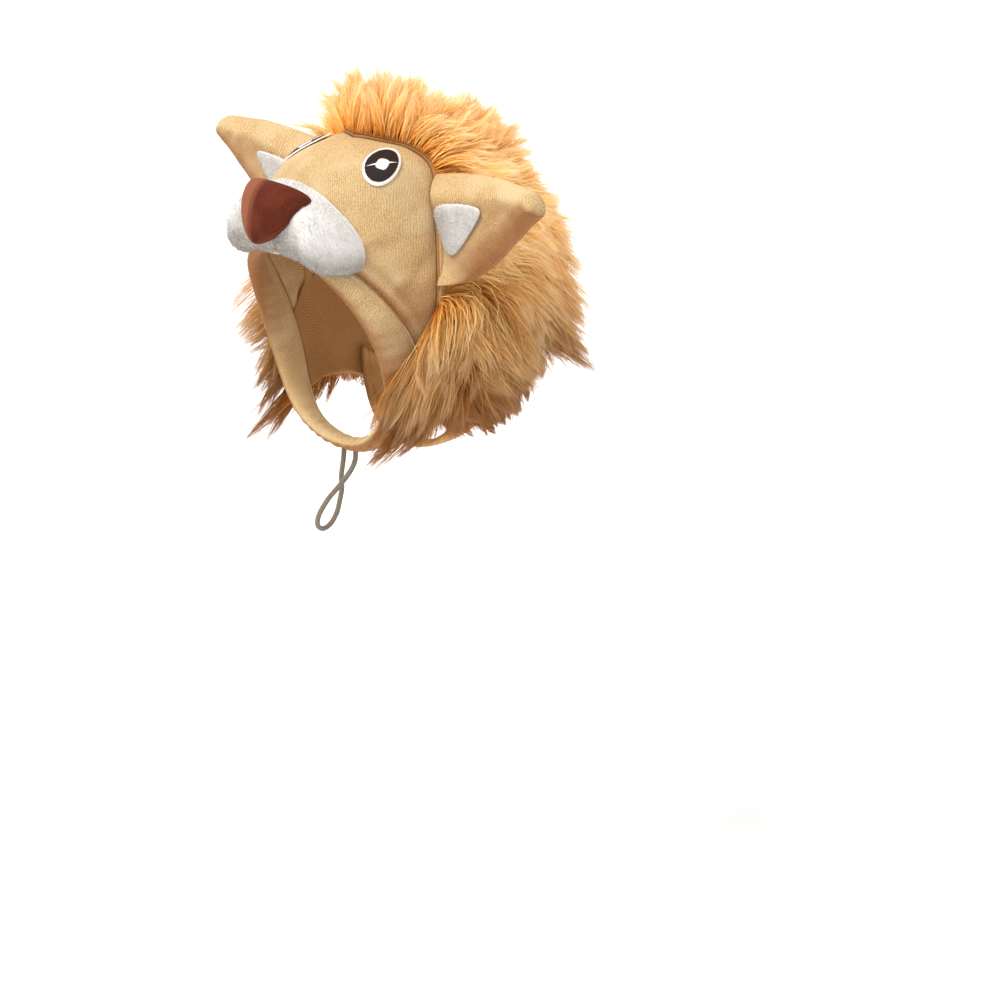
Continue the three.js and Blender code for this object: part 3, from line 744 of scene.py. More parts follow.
# %% Muzzle and nose
MUZZLE_WIDTH, MUZZLE_HEIGHT, MUZZLE_DEPTH, MUZZLE_BACK = 82 * MM, 32 * MM, 13 * MM, 16 * MM
MUZZLE_SEAT = np.array([0, -58, -32]) * MM
MUZZLE_DROP, MUZZLE_WRAP = 17 * MM, 9 * MM
MUZZLE_LOBES, LOBE_START, LOBE_FULL = 0.75, 0.34, 0.85
MUZZLE_WAIST, MUZZLE_LIP, MUZZLE_FULLNESS = 0.14, 0.46, 0.85
NOSE_WIDTH, NOSE_HEIGHT, NOSE_THICKNESS = 45 * MM, 29.5 * MM, 7.5 * MM
NOSE_SEAT = np.array([0, -71.5, -28]) * MM
NOSE_TILT = np.radians(17)
NOSE_WRAP = 8.5 * MM
NOSE_TOP_SHARE, NOSE_POINT, NOSE_BACK = 0.4, 1.2, 12 * MM


def muzzle_points(grow=0.0, rows=151, cols=96, soft=True):
    """The muzzle: sections round a line across the face that bulge forwards more at the
    sides, drop towards their ends and wrap back round the face."""
    polar, angle = polar_grid(rows, cols)
    across = signed_power(np.cos(polar), 0.8)
    fill = np.sqrt(np.clip(1 - across ** 4, 0, 1))
    up = signed_power(np.cos(angle), MUZZLE_FULLNESS) * fill
    front = signed_power(np.sin(angle), MUZZLE_FULLNESS) * fill
    lobes = 1 + MUZZLE_LOBES * smoothstep(np.abs(across), LOBE_START, LOBE_FULL)
    waist = 1 - MUZZLE_WAIST * (1 - np.minimum(1, np.abs(across) * 2))
    waist = waist * np.where(up < 0, 1 + MUZZLE_LIP * (1 - smoothstep(np.abs(across), 0, 0.6)), 1)
    reach = np.where(front > 0, MUZZLE_DEPTH * lobes + grow, MUZZLE_BACK)
    points = np.stack([
        across * (MUZZLE_WIDTH / 2 + grow),
        MUZZLE_SEAT[1] - front * reach + MUZZLE_WRAP * across ** 2,
        MUZZLE_SEAT[2] + up * (MUZZLE_HEIGHT / 2 + grow) * waist - MUZZLE_DROP * np.abs(across) ** 1.4,
    ], -1)
    if soft:
        x = points[..., 0] / MM
        groove = 1.3 * np.exp(-(x / 2.4) ** 2) * smoothstep(front, 0.1, 0.6)
        uneven = 0.35 * waves(points, 17 * MM, 21) + 0.12 * waves(points, 7 * MM, 22)
        points[..., 1] += (groove + uneven * (front > 0)) * MM
    return points


def loop_uv(points):
    """UVs in metres for a polar grid: round along its columns and down its rows."""
    looped = np.concatenate([points, points[:, :1]], 1)
    across = arc_lengths(looped, 1)
    down = arc_lengths(looped, 0)
    middle = across[len(across) // 2]
    return np.stack([np.broadcast_to(middle, down.shape), down], -1)


def nose_points(rows=81, cols=96):
    """The nose: a rounded triangle with its point down, tilted back, wrapped round the muzzle,
    with a crease down its middle and a stitched groove inside its edge."""
    polar, angle = polar_grid(rows, cols)
    x, y, z = np.sin(polar) * np.cos(angle), np.cos(polar), np.sin(polar) * np.sin(angle)
    high = np.where(y > 0, NOSE_TOP_SHARE, 1 - NOSE_TOP_SHARE)
    girth = np.sqrt(np.clip(1 - y * y, 1e-12, 1))
    top_half = np.clip(1 - np.abs(y) ** 3, 0, 1) ** 0.5
    low_half = np.clip(1 - np.abs(y) ** NOSE_POINT, 0, 1) ** 0.9
    half = np.where(y > 0, top_half, low_half)
    across = x / girth * half
    depth = np.where(z < 0, NOSE_THICKNESS * np.abs(z) ** 0.8, -NOSE_BACK * z)
    crease = np.exp(-(across * NOSE_WIDTH / 2 / (1.0 * MM)) ** 2) * smoothstep(-z, 0.2, 0.7)
    at_edge = np.exp(-((-z / girth - 0.30) / 0.08) ** 2)
    sewn = at_edge * smoothstep(-y, -0.35, 0.05) * smoothstep(half, 0.05, 0.2)
    depth = depth - (1.5 * crease + 1.0 * sewn) * MM
    side, high_at = across * NOSE_WIDTH / 2, y * NOSE_HEIGHT * high
    turned_y = -depth * np.cos(NOSE_TILT) + high_at * np.sin(NOSE_TILT)
    turned_z = depth * np.sin(NOSE_TILT) + high_at * np.cos(NOSE_TILT)
    wrapped = turned_y + NOSE_WRAP * across ** 2
    return np.stack([side, wrapped, turned_z], -1) + NOSE_SEAT


muzzle_grid = muzzle_points()
muzzle_cloth = face_outwards(ball("muzzle_cloth", muzzle_grid, loop_uv(muzzle_grid)))
carve(muzzle_cloth, core, rim_space)
dress(muzzle_cloth, "white_plush", white_plush, "muzzle")

muzzle_space_grid = muzzle_points(PIECE_GAP, 61, 48, False)
muzzle_space = face_outwards(ball("muzzle_space", muzzle_space_grid, np.zeros((61, 49, 2))))
nose_grid = nose_points()
nose_cloth = face_outwards(ball("nose_cloth", nose_grid, loop_uv(nose_grid)))
carve(nose_cloth, muzzle_space, core)
dress(nose_cloth, "brown_velour", brown_velour, "nose")

# %% [markdown]
# ## Eyes
#
# Each eye is a thin raised oval of satin stitch. It follows the face, and its rim is a little
# higher than its middle, as a sewn outline is.

# %% Eyes
EYE_LEAN = np.radians(27)
EYE_PLACES = {1: (3.64, np.radians(29.2)), -1: (3.52, np.radians(23.8))}
EYE_THICKNESS = 0.9 * MM


def eye(side):
    """A flat oval pad laid on the hood at its place, with the eye's own plane in its UV."""
    ring, turn = EYE_PLACES[side]
    here = hood_face(ring, turn)
    ring_reach = np.linalg.norm(hood_face(ring + 0.5, turn) - here) / 0.5
    turn_reach = np.linalg.norm(hood_face(ring, turn + 0.02) - here) / 0.02
    polar, angle = polar_grid(49, 72)
    a = np.sin(polar) * np.cos(angle) * EYE_WIDTH / 2
    b = np.sin(polar) * np.sin(angle) * EYE_LENGTH / 2
    along = b * np.cos(EYE_LEAN) + a * np.sin(EYE_LEAN)
    round_ = a * np.cos(EYE_LEAN) - b * np.sin(EYE_LEAN)
    outline = np.exp(-((np.sin(polar) - 0.9) / 0.06) ** 2) * (np.cos(polar) > 0)
    lift = signed_power(np.cos(polar), 0.35)
    height = PIECE_GAP + EYE_THICKNESS * (0.5 + 0.42 * lift) + 0.12 * MM * outline
    ring_at, turn_at = ring + along / ring_reach, side * (turn + round_ / turn_reach)
    points = hood_point(ring_at, turn_at, height + temple_swell(ring_at, turn_at))
    uv = np.stack([a, b], -1)
    uv = np.concatenate([uv, uv[:, :1]], 1)
    return face_outwards(ball(f"eye_stitching_{SIDES[side]}", points, uv))


for side, side_name in SIDES.items():
    dress(eye(side), "eye_thread", eye_thread, f"eye_{side_name}")

# %% [markdown]
# ## Ears
#
# An ear is two layers of velour sewn along the outline, turned and stuffed, cupped forwards and
# pinched at its root. A white plush patch lies in the cup.

# %% Ears
EAR_LENGTH, EAR_WIDTH, EAR_THICKNESS, EAR_CUP = 95 * MM, 51 * MM, 9 * MM, 9 * MM
EAR_ROOT = np.array([33, -6, -43]) * MM
EAR_RISE, EAR_SLANT, EAR_SWEEP = np.radians(12.5), np.radians(21), -4 * MM
EAR_ALONG = np.array([0.0, 0.25, 0.5, 0.75, 0.92, 1.0])
EAR_SECTIONS = np.array([
    # width, shift up, cup, as shares
    (1.00, 0.00, 1.25),
    (0.98, 0.01, 1.15),
    (0.80, 0.07, 0.85),
    (0.53, 0.13, 0.50),
    (0.30, 0.15, 0.25),
    (0.20, 0.155, 0.15),
])
PATCH_MIDDLE, PATCH_LENGTH, PATCH_THICKNESS = 0.395, 0.43, 1.4 * MM
SEAT_TURNS, SEAT_REACH, SEAT_HEIGHTS = np.radians([43, 86]), 0.62, (1.9 * MM, 1.25 * MM)
PATCH_ROOT, PATCH_TIP = np.array([-0.08, 0.58]), np.array([0.14, 0.2])
EAR_FULLNESS = 0.8
STUFFING, STUFFING_TAPER = 5.5 * MM, 0.6
EAR_TOP_FLAT, EAR_LOW_FLAT = 1.1, 0.6


def ear_section(along):
    """Width, shift and cup shares at a share of the ear's length."""
    rows = np.interp(np.clip(along, 0, 1), EAR_ALONG, np.arange(len(EAR_ALONG)))
    return np.moveaxis(curve_at(EAR_SECTIONS, rows), -1, 0)


def ear_bow(along, across, cup):
    """How far an ear's edges stand forward of its middle. The stuffing flattens the cup: all of
    it above the middle, and part of it below, away from the root."""
    at_top = smoothstep(across, 0.1, 1) * EAR_TOP_FLAT
    at_low = smoothstep(-across, 0.1, 1) * smoothstep(along, 0.05, 0.45) * EAR_LOW_FLAT
    return cup * EAR_CUP * (np.minimum(across ** 2, 1) * (1 - at_top - at_low) - 0.35)


def ear_point(along, across, depth, side):
    """A point of an ear, from shares along and across it and a depth out of its middle."""
    width, shift, cup = ear_section(along)
    reach = across * width * EAR_WIDTH / 2
    y = -ear_bow(along, across, cup) - depth
    x, z = along * EAR_LENGTH, reach + shift * EAR_WIDTH
    raked = x - z * np.tan(EAR_SLANT)
    return np.stack([
        side * (raked * np.cos(EAR_RISE) - z * np.sin(EAR_RISE) + EAR_ROOT[0]),
        y + EAR_ROOT[1] + EAR_SWEEP * along,
        raked * np.sin(EAR_RISE) + z * np.cos(EAR_RISE) + EAR_ROOT[2],
    ], -1)


def stuffing(along, across):
    """How much farther the stuffed front of an ear stands out than its evenly thick form."""
    root = smoothstep(along, 0.02, 0.36)
    return STUFFING * (1 - np.minimum(across ** 2, 1)) * (1 - STUFFING_TAPER * along) * root


def ear(side, rows=101, cols=88):
    """A stuffed ear: oval sections that shrink to a rounded tip, softly uneven."""
    polar, angle = polar_grid(rows, cols)
    along = 0.5 - 0.5 * signed_power(np.cos(polar), 0.9)
    width = np.sin(polar)
    fill = np.minimum(1, 3.2 * width)
    pad = EAR_THICKNESS / 2 * np.minimum(1, 2.4 * width) ** 0.7
    across = signed_power(np.cos(angle), 0.95) * fill
    depth = signed_power(np.sin(angle), EAR_FULLNESS) * pad
    depth = depth + stuffing(along, across) * smoothstep(np.sin(angle), 0, 0.5)
    flat = ear_point(along, across, depth, side)
    seam = np.exp(-(np.sin(angle) / 0.12) ** 2)
    depth = depth + MM * np.sin(angle) * (0.5 * waves(flat, 26 * MM, 31) + 0.12 * waves(flat, 8 * MM, 32))
    points = ear_point(along, across * (1 - 0.03 * seam), depth, side)
    return face_outwards(ball(f"ear_cloth_{SIDES[side]}", points, loop_uv(points)))


def lining(side, rows=61, cols=80):
    """The white patch: a rounded triangle that narrows towards the tip, a soft pad."""
    polar, angle = polar_grid(rows, cols)
    x = np.sin(polar) * signed_power(np.cos(angle), 0.8)
    y = np.sin(polar) * signed_power(np.sin(angle), 0.8)
    along = PATCH_MIDDLE + 0.5 * PATCH_LENGTH * x
    middle, width = (blend(PATCH_ROOT[k], PATCH_TIP[k], 0.5 + 0.5 * x) for k in (0, 1))
    across = middle + y * width
    rest = EAR_THICKNESS / 2 * np.clip(1 - across ** 2, 0, 1) ** 0.4 + stuffing(along, across) + PIECE_GAP
    depth = rest + PATCH_THICKNESS * (0.5 + 0.5 * signed_power(np.cos(polar), 0.5))
    points = ear_point(along, across, depth, side)
    return face_outwards(ball(f"ear_patch_{SIDES[side]}", points, loop_uv(points)))


def ear_seat(side, cols=41, rows=13):
    """The face cloth that runs on from the seam under an ear's root."""
    turn, share = np.meshgrid(np.linspace(*SEAT_TURNS, cols) * side, np.linspace(0, 1, rows))
    reach = SEAT_REACH * np.sin(np.linspace(0, np.pi, cols)) ** 0.5
    ring = seam_ring(turn) + SEAM_MARGIN + reach * share
    points = [hood_point(ring, turn, height) for height in SEAT_HEIGHTS]
    uv = hood_uv(turn, hood_face(ring, turn))
    return face_outwards(wall(f"ear_seat_{SIDES[side]}", *points, uv))


ear_patches = []
for side, side_name in SIDES.items():
    ear_cloth = carve(ear(side), core)
    dress(ear_cloth, "tan_velour", tan_velour, f"ear_{side_name}")
    dress(ear_seat(side), "tan_velour", tan_velour)
    patch = carve(lining(side), core)
    ear_patches.append(dress(patch, "white_plush", white_plush, f"ear_lining_{side_name}"))

# %% [markdown]
# ## Backing, skin of the mane, and chin strap
#
# Under the fur the hood is a knitted backing, seen from inside. The roots of the pile stand in
# its outer face. The chin strap is a band of velour that closes the hood under the throat.

# %% Backing, skin and strap
SKIN_GAP, SKIN_THICKNESS = 0.5 * MM, 1.6 * MM
STRAP_THICKNESS, STRAP_END = 3 * MM, np.radians(116)
STRAP_RINGS = (5.85, 7.95)


def mane_wall(name, inner, outer, rows=41):
    """A wall under the mane from the seam, or the rim below the cheeks, to the neck edge."""
    below = np.linspace(CHEEK_TURN + 0.012, MANE_END, 28)
    turns = np.concatenate([-below[::-1], np.linspace(-CHEEK_TURN - 0.008, CHEEK_TURN + 0.008, 105), below])
    turn, share = np.meshgrid(turns, np.linspace(0, 1, rows))
    first = np.where(np.abs(turn) < CHEEK_TURN + 0.01, seam_ring(turn) + SEAM_MARGIN, FACE_RING + 0.01)
    ring = blend(first, NECK_RING, share)
    points = [hood_point(ring, turn, distance) for distance in (outer, inner)]
    return face_outwards(wall(name, *points, hood_uv(turn, hood_face(ring, turn))))


def chin_strap(cols=97, rows=25):
    """The strap: a padded band that runs under the throat between the mane's two ends."""
    turn, share = np.meshgrid(np.linspace(STRAP_END, 2 * np.pi - STRAP_END, cols), np.linspace(0, 1, rows))
    ring = blend(*STRAP_RINGS, share)
    base = hood_face(ring, turn)
    down = arc_lengths(base)
    to_edge = np.minimum(down, down[-1:] - down)
    full = round_edge(to_edge, 2.2 * MM)
    stitched = np.exp(-((to_edge - 3.2 * MM) / (0.7 * MM)) ** 2) * 0.5 * MM
    middle = -BACKING_WALL - PIECE_GAP - STRAP_THICKNESS / 2
    half = STRAP_THICKNESS / 2 * full - stitched
    outer, inner = hood_point(ring, turn, middle + half), hood_point(ring, turn, middle - half)
    return face_outwards(wall("strap_cloth", outer, inner, hood_uv(turn, base)))


dress(mane_wall("backing_cloth", -BACKING_WALL, 0.0), "backing_knit", backing_knit, "mane_backing")
strap_cloth = dress(chin_strap(), "tan_velour", strap_velour, "chin_strap")

# %% [markdown]
# ## Drawcord
#
# The cord's two runs leave the rim at the throat, hang down side by side and cross above the
# loop that they end in. The photograph shows the whole loop. It is thin and limp.

# %% Drawcord
CORD_DIAMETER = 2.5 * MM
CORD_ROUTE = np.array([
    (-3.0, -26.3, -149.5), (-3.1, -26.7, -154.5), (-3.6, -27.8, -163.5), (-3.3, -27.7, -168.9),
    (-4.0, -28.6, -175.5), (-4.7, -30.0, -181.4), (-5.4, -33.2, -186.3), (-5.6, -37.4, -187.8),
    (-4.6, -41.0, -185.2), (-2.4, -41.8, -179.6), (0.2, -38.4, -172.0), (2.5, -32.7, -165.2),
    (4.2, -28.4, -159.4), (5.1, -26.2, -154.5), (5.2, -25.6, -149.5),
]) * MM


def cord_tube(route, diameter, samples=10, sides=16):
    """A round tube along a smooth route, and the line that it follows. Its sections stand on
    the run, with one side towards +X."""
    line = curve_at(route, np.linspace(0, len(route) - 1, samples * (len(route) - 1) + 1))
    run = unit(np.gradient(line, axis=0))
    side = unit(np.array([1.0, 0, 0]) - run * run[:, :1])
    up = np.cross(run, side)
    angle = np.linspace(0, 2 * np.pi, sides, endpoint=False)
    ring = side[:, None] * np.cos(angle)[:, None] + up[:, None] * np.sin(angle)[:, None]
    rings = line[:, None] + ring * diameter / 2
    points = np.concatenate([line[:1, None].repeat(sides, 1), rings, line[-1:, None].repeat(sides, 1)])
    down = arc_lengths(line)
    down = np.concatenate([down[:1], down, down[-1:]])
    round_ = np.arange(sides + 1) / sides * np.pi * diameter
    uv = np.stack(np.broadcast_arrays(round_[None, :], down[:, None]), -1)
    return face_outwards(ball("cord", points, uv)), line


cord, cord_line = cord_tube(CORD_ROUTE, CORD_DIAMETER)
dress(cord, "cord_braid", cord_braid, "drawcord")

# %% [markdown]
# ## Mane
#
# Long acrylic pile stands in tufts that split into finer clumps. Each strand is a thin ribbon.
# First a line is grown for each tuft, then one for each clump, which leans on its tuft, and
# then one for each strand, which closes up with its clump towards the tip. The direction is
# outwards at the root and turns back and down with gravity: it stands up over the crown, is
# brushed back at the sides and hangs at the throat.

# %% Mane settings
STRANDS, CLUMPS, TUFTS = 72000, 2300, 300
STRAND_POINTS = 6
PILE_LENGTH = 43 * MM
STRAND_WIDTHS = np.array([0.34, 0.42, 0.38, 0.28, 0.15]) * MM
CROWN_LENGTH, REAR_LENGTH, THROAT_LENGTH, NECK_LENGTH = 0.60, 0.54, 0.42, 0.46
FORWARD_SWEEP, FORWARD_FALL = 7.0, 0.6
CURL = 0.4 * MM
MANE_PIECES = ("mane_right_side", "mane_right_crown", "mane_left_crown", "mane_left_side")
EAR_CLEARANCE = 1.5 * MM
TUFT_LENGTHS, CLUMP_LENGTHS, STRAND_LENGTHS = (0.88, 1.10), (0.72, 1.08), (0.70, 1.06)
TUFT_SWAY, CLUMP_SWAY, STRAND_SWAY = 0.30, 0.34, 0.30
SWIRL, SWIRL_SIZE = 0.34, 45 * MM
TUFT_PULL, CLUMP_PULL = 0.6, 0.92
LOOSE_SHARE, LOOSE_PULL, LOOSE_LENGTH = 0.12, 0.30, 1.26
rng = np.random.default_rng(11)


def sample_hood(count, turns=480, rows=60):
    """Rings and turns of points spread evenly by area over the mane's part of the hood."""
    turn, share = np.meshgrid(np.linspace(-MANE_END, MANE_END, turns), np.linspace(0, 1, rows))
    start = mane_start(turn) + SEAM_MARGIN
    points = hood_face(blend(start, NECK_RING, share), turn)
    across, down = np.gradient(points, axis=1), np.gradient(points, axis=0)
    area = np.linalg.norm(np.cross(across, down), axis=-1).ravel()
    cell = rng.choice(area.size, count, p=area / area.sum())
    turn_at = turn.ravel()[cell] + (rng.random(count) - 0.5) * 2 * MANE_END / turns
    share_at = np.clip(share.ravel()[cell] + (rng.random(count) - 0.5) / rows, 0, 1)
    turn_at = np.clip(turn_at, -MANE_END, MANE_END)
    return blend(mane_start(turn_at) + SEAM_MARGIN, NECK_RING, share_at), turn_at


def nearest(points, centres, chunk=4000):
    """The nearest centre to each point."""
    found = [
        np.argmin(((points[i:i + chunk, None] - centres[None]) ** 2).sum(-1), 1)
        for i in range(0, len(points), chunk)
    ]
    return np.concatenate(found)


def length_share(ring, turn):
    """The pile's length as a share: shorter on the crown, at the throat and at the neck edge."""
    crown = 1 - smoothstep(np.abs(turn), np.radians(30), np.radians(72))
    rear = smoothstep(ring, 4.6, 6.0)
    throat = smoothstep(np.abs(turn), np.radians(98), np.radians(122))
    share = blend(1.0, blend(CROWN_LENGTH, REAR_LENGTH, rear), crown)
    throat = throat * smoothstep(ring, 1.0, 3.0)
    neck = smoothstep(np.abs(turn), np.radians(62), np.radians(90)) * smoothstep(ring, 4.6, 7.0)
    return share * blend(1.0, THROAT_LENGTH, throat) * blend(1.0, NECK_LENGTH, neck)


def grow(ring, turn, length, sway):
    """Lines of STRAND_POINTS points from roots on the hood. Each step goes outwards, back and
    down by shares that depend on the place and on how far along the strand it is."""
    back, _, out = hood_frame(ring, turn)
    side = smoothstep(np.abs(turn), np.radians(15), np.radians(80))
    low = smoothstep(np.abs(turn), np.radians(80), np.radians(112))
    near = np.exp(-(ring - mane_start(turn)) / 1.3)
    front = smoothstep(np.abs(turn), np.radians(80), np.radians(93)) * near
    front = front * (1 - 0.6 * smoothstep(np.abs(turn), np.radians(106), np.radians(122)))
    length = length * length_share(ring, turn)
    points = [hood_point(ring, turn, SKIN_GAP)]
    steps = STRAND_POINTS - 1
    for step in range(steps):
        share = step / (steps - 1)
        outwards = blend(1.0 - 0.25 * share, 0.80 - 0.45 * share, side)
        backwards = blend(0.20 + 0.30 * share, 0.70 - 0.10 * share, side) - FORWARD_SWEEP * front
        falling = blend(0.02 + 0.10 * share, 0.08 + 0.65 * share, side) + 0.30 * low + FORWARD_FALL * front
        heading = out * outwards[:, None] + back * backwards[:, None] + sway * (0.5 + 0.7 * share)
        heading[:, 2] -= falling
        points.append(points[-1] + unit(heading) * (length / steps)[:, None])
    return np.stack(points, 1)


def clear_of_ears(points):
    """Moves points that would lie in an ear, or in front of it, to just behind it."""
    x = np.abs(points[..., 0]) - EAR_ROOT[0]
    z = points[..., 2] - EAR_ROOT[2]
    raked = x * np.cos(EAR_RISE) + z * np.sin(EAR_RISE)
    up = z * np.cos(EAR_RISE) - x * np.sin(EAR_RISE)
    along = (raked + up * np.tan(EAR_SLANT)) / EAR_LENGTH
    width, shift, cup = ear_section(along)
    across = (up - shift * EAR_WIDTH) / (width * EAR_WIDTH / 2)
    behind = EAR_ROOT[1] + EAR_SWEEP * along - ear_bow(along, across, cup)
    behind = behind + EAR_THICKNESS / 2 + EAR_CLEARANCE
    inside = (np.abs(across) < 1.12) & (along > 0.1) & (along < 1.03) & (points[..., 1] < behind)
    points[..., 1] = np.where(inside, behind + rng.random(points.shape[:-1]) * 2 * MM, points[..., 1])
    return points


def strand_ribbons(name, lines, facing, widths, shade, tuft_uv):
    """Ribbons along lines: two edges that close in a tip. They turn their flat side towards
    facing."""
    count, steps = lines.shape[:2]
    run = unit(np.gradient(lines, axis=1))
    across = unit(np.cross(run, facing[:, None]))[:, :-1]
    half = across * widths[:, :, None] / 2
    body = lines[:, :-1]
    points = np.stack([body - half, body + half], 2).reshape(count, -1, 3)
    points = np.concatenate([points, lines[:, -1:]], 1)
    each = points.shape[1]
    first = (np.arange(count) * each)[:, None, None]
    k = 2 * np.arange(steps - 2)
    quads = (np.stack([k, k + 1, k + 3, k + 2], -1)[None] + first).reshape(-1, 4)
    tips = (np.array([[each - 3, each - 2, each - 1]])[None] + first).reshape(-1, 3)
    along = np.concatenate([np.repeat(np.linspace(0, 1, steps)[:-1], 2), [1.0]])
    strand = np.stack(np.broadcast_arrays(shade[:, None], along[None]), -1).reshape(-1, 2)
    tuft = np.repeat(tuft_uv[:, None], each, 1).reshape(-1, 2)
    layers = {"strand": [strand[quads], strand[tips]], "tuft": [tuft[quads], tuft[tips]]}
    return make_mesh(name, points.reshape(-1, 3), [quads, tips], layers)


# %% Mane
def leanings(roots, size):
    """A slow drift of the pile's direction over the hood, and a random part of its own."""
    drift = np.stack([waves(roots, SWIRL_SIZE, 41 + k) for k in range(3)], -1) * SWIRL
    return drift + rng.normal(size=(len(roots), 3)) * size


tuft_ring, tuft_turn = sample_hood(TUFTS)
clump_ring, clump_turn = sample_hood(CLUMPS)
strand_ring, strand_turn = sample_hood(STRANDS)
tuft_roots, clump_roots = hood_face(tuft_ring, tuft_turn), hood_face(clump_ring, clump_turn)
strand_roots = hood_face(strand_ring, strand_turn)
clump_tuft = nearest(clump_roots, tuft_roots)
strand_clump = nearest(strand_roots, clump_roots)

tuft_length = PILE_LENGTH * rng.uniform(*TUFT_LENGTHS, TUFTS)
tuft_lines = grow(tuft_ring, tuft_turn, tuft_length, leanings(tuft_roots, TUFT_SWAY))
along = np.linspace(0, 1, STRAND_POINTS)[None, :, None]

clump_length = tuft_length[clump_tuft] * rng.uniform(*CLUMP_LENGTHS, CLUMPS)
clump_lines = grow(clump_ring, clump_turn, clump_length, leanings(clump_roots, CLUMP_SWAY))
offset = (clump_roots - tuft_roots[clump_tuft])[:, None]
gathered = tuft_lines[clump_tuft] + offset * 0.55
clump_lines = blend(clump_lines, gathered, TUFT_PULL * along ** 1.1)

strand_length = clump_length[strand_clump] * rng.uniform(*STRAND_LENGTHS, STRANDS)
loose = rng.random(STRANDS) < LOOSE_SHARE
strand_length = np.where(loose, LOOSE_LENGTH, 1.0) * strand_length
strand_lines = grow(strand_ring, strand_turn, strand_length, leanings(strand_roots, STRAND_SWAY))
offset = (strand_roots - clump_roots[strand_clump])[:, None]
gathered = clump_lines[strand_clump] + offset * (0.35 - 0.27 * along)
closing = np.where(loose, LOOSE_PULL, CLUMP_PULL)[:, None, None]
strand_lines = blend(strand_lines, gathered, closing * along ** 0.8)
curl = rng.normal(size=(STRANDS, STRAND_POINTS, 3)) * CURL
strand_lines = strand_lines + curl * along * (along < 0.99)
strand_lines[:, 1:] = clear_of_ears(strand_lines[:, 1:])

strand_facing = unit(hood_frame(strand_ring, strand_turn)[2] + rng.normal(size=(STRANDS, 3)) * 0.7)
strand_widths = STRAND_WIDTHS * rng.uniform(0.75, 1.25, (STRANDS, 1))
strand_shade = rng.random(STRANDS)
tuft_shade = (rng.random(CLUMPS) * 0.6 + rng.random(TUFTS)[clump_tuft] * 0.4)[strand_clump]
# The root's height on the hood, which the fur reads for its painted shade below and its painted glow on the
# crown.
strand_high = np.clip(1 + strand_roots[:, 2] / HOOD_HEIGHT, 0, 1)
tuft_uv = np.stack([tuft_shade, strand_high], -1)
quarter = np.argsort(np.argsort(strand_turn)) * len(MANE_PIECES) // STRANDS
for number, mane_name in enumerate(MANE_PIECES):
    own = quarter == number
    mane_piece = strand_ribbons(mane_name, strand_lines[own], strand_facing[own], strand_widths[own],
                                strand_shade[own], tuft_uv[own])
    dress(mane_piece, "orange_fur", orange_fur, "mane")

# The skin under the pile wears the fur's material, so it takes colours from the root end, which are partly
# painted shade.
skin_cloth = mane_wall("mane_skin", SKIN_GAP, SKIN_GAP + SKIN_THICKNESS * 0.4)
skin_cloth.data.uv_layers[0].name = "strand"
dress(skin_cloth, "orange_fur", orange_fur, "mane")

# %% [markdown]
# ## Plush nap
#
# The white plush has a nap long enough to soften its outline. It is made of single pointed
# fibres that stand on the finished pieces.


# %% Nap
NAP_LENGTH, NAP_WIDTH, NAP_LEAN = 1.3 * MM, 0.16 * MM, 0.45


def nap(name, piece, count, seed):
    """Pointed fibres on a piece's faces, spread by area and leaning at random."""
    rng = np.random.default_rng(seed)
    a, b, c = triangle_corners(piece.data).astype(float)
    normal = np.cross(b - a, c - a)
    area = np.linalg.norm(normal, axis=1)
    outside = (hood_distance((a + b + c) / 3) > 1.5 * MM) * area
    pick = rng.choice(len(a), count, p=outside / outside.sum())
    p, q = np.sort(rng.random((2, count)), axis=0)
    root = a[pick] * p[:, None] + b[pick] * (q - p)[:, None] + c[pick] * (1 - q)[:, None]
    heading = unit(unit(normal[pick]) + rng.normal(size=(count, 3)) * NAP_LEAN)
    side = unit(np.cross(heading, rng.normal(size=(count, 3)))) * NAP_WIDTH / 2
    tip = root + heading * (NAP_LENGTH * rng.uniform(0.5, 1.1, count))[:, None]
    verts = np.stack([root - side, root + side, tip], 1).reshape(-1, 3)
    faces = np.arange(3 * count).reshape(-1, 3)
    made = make_mesh(name, verts, [faces], {"cloth": [np.zeros((count, 3, 2))]})
    # Each fibre keeps the facing of its root for the painted shade.
    store_shade_by_facing(made, np.repeat(unit(normal[pick]), 3, 0))
    dress(made, "white_plush", white_plush)


def hood_distance(points):
    """About how far points lie outside the hood's core, from the nearest points of a grid."""
    turn, ring = np.meshgrid(np.linspace(-1.9, 1.9, 61), np.linspace(1.0, 6.0, 31))
    base = hood_face(ring, turn).reshape(-1, 3)
    out = hood_frame(ring, turn)[2].reshape(-1, 3)
    near = nearest(points, base)
    return ((points - base[near]) * out[near]).sum(-1)


nap("muzzle_nap", muzzle_cloth, 26000, 51)
for patch_number, patch in enumerate(ear_patches):
    nap(f"{patch.name}_nap", patch, 5000, 52 + patch_number)

for tool in (core, rim_space, muzzle_space):
    bpy.data.objects.remove(tool)

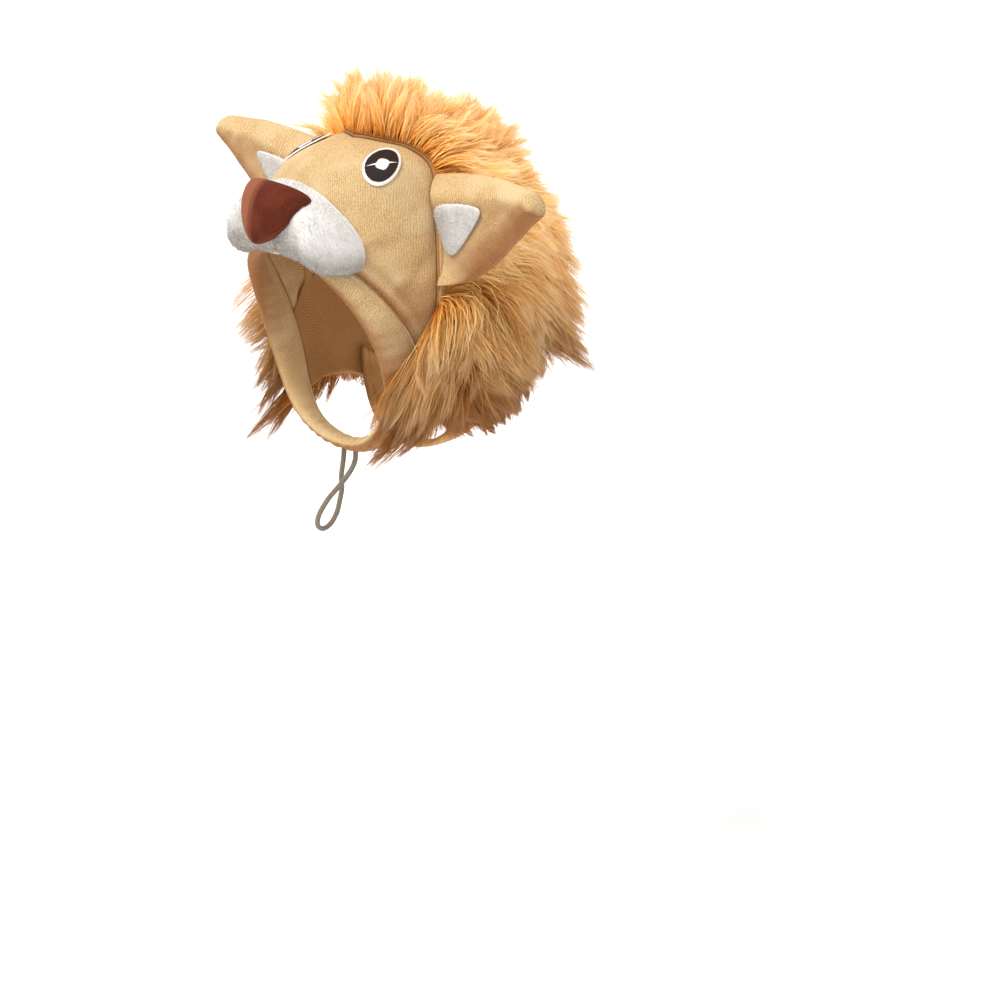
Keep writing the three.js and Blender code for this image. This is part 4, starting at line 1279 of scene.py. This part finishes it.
# %% [markdown]
# ## Floor and light
#
# The hat is held up as a head would hold it, above a plain pale floor. One large soft light
# stands high in front, a small one behind picks out the edge of the fur, and the pale
# surroundings, brighter above, fill the shade.

# %% Floor and light
FLOOR_HEIGHT = -0.38
FLOOR_SIZE = 12.0
SKY_LOW, SKY_HIGH = 0.40, 1.10


def floor_piece():
    """A plain square sheet far larger than the view."""
    half = FLOOR_SIZE / 2
    points = np.array([(-half, -half, FLOOR_HEIGHT), (half, -half, FLOOR_HEIGHT),
                       (half, half, FLOOR_HEIGHT), (-half, half, FLOOR_HEIGHT)])
    made = make_mesh("floor", points, [np.array([[0, 1, 2, 3]])], {})
    material, _, shader = new_material("pale studio paper", roughness=0.9, specular_ior_level=0.1)
    shader.inputs["Base Color"].default_value = colour("#FCFCFC")
    made.data.materials.append(material)
    return made


def soft_light(name, turn, rise, distance, size, power, code):
    """A square area light that faces the hat from a direction."""
    data = bpy.data.lights.new(name, "AREA")
    data.shape, data.size, data.energy = "SQUARE", size, power
    data.color = colour(code)[:3]
    light = bpy.data.objects.new(name, data)
    turn, rise = np.radians(turn), np.radians(rise)
    way = np.array([np.sin(turn) * np.cos(rise), -np.cos(turn) * np.cos(rise), np.sin(rise)])
    light.location = HOOD_MIDDLE + way * distance
    light.rotation_euler = Vector(-way).to_track_quat("-Z", "Y").to_euler()
    bpy.context.scene.collection.objects.link(light)


floor_piece()
soft_light("key", turn=-8, rise=56, distance=10.0, size=4.0, power=830, code="#FFFDF8")
soft_light("back", turn=-150, rise=40, distance=1.8, size=0.8, power=6, code="#FFF8EC")
world = bpy.data.worlds.new("studio")
world.use_nodes = True
sky = world.node_tree
ray = node(sky, "ShaderNodeSeparateXYZ", {0: node(sky, "ShaderNodeTexCoord").outputs["Generated"]})
strength = spread(sky, ray.outputs["Z"], 0.0, 1.0, SKY_LOW, SKY_HIGH)
sky.links.new(strength, sky.nodes["Background"].inputs["Strength"])
sky.nodes["Background"].inputs["Color"].default_value = colour("#FFFFFF")
bpy.context.scene.world = world
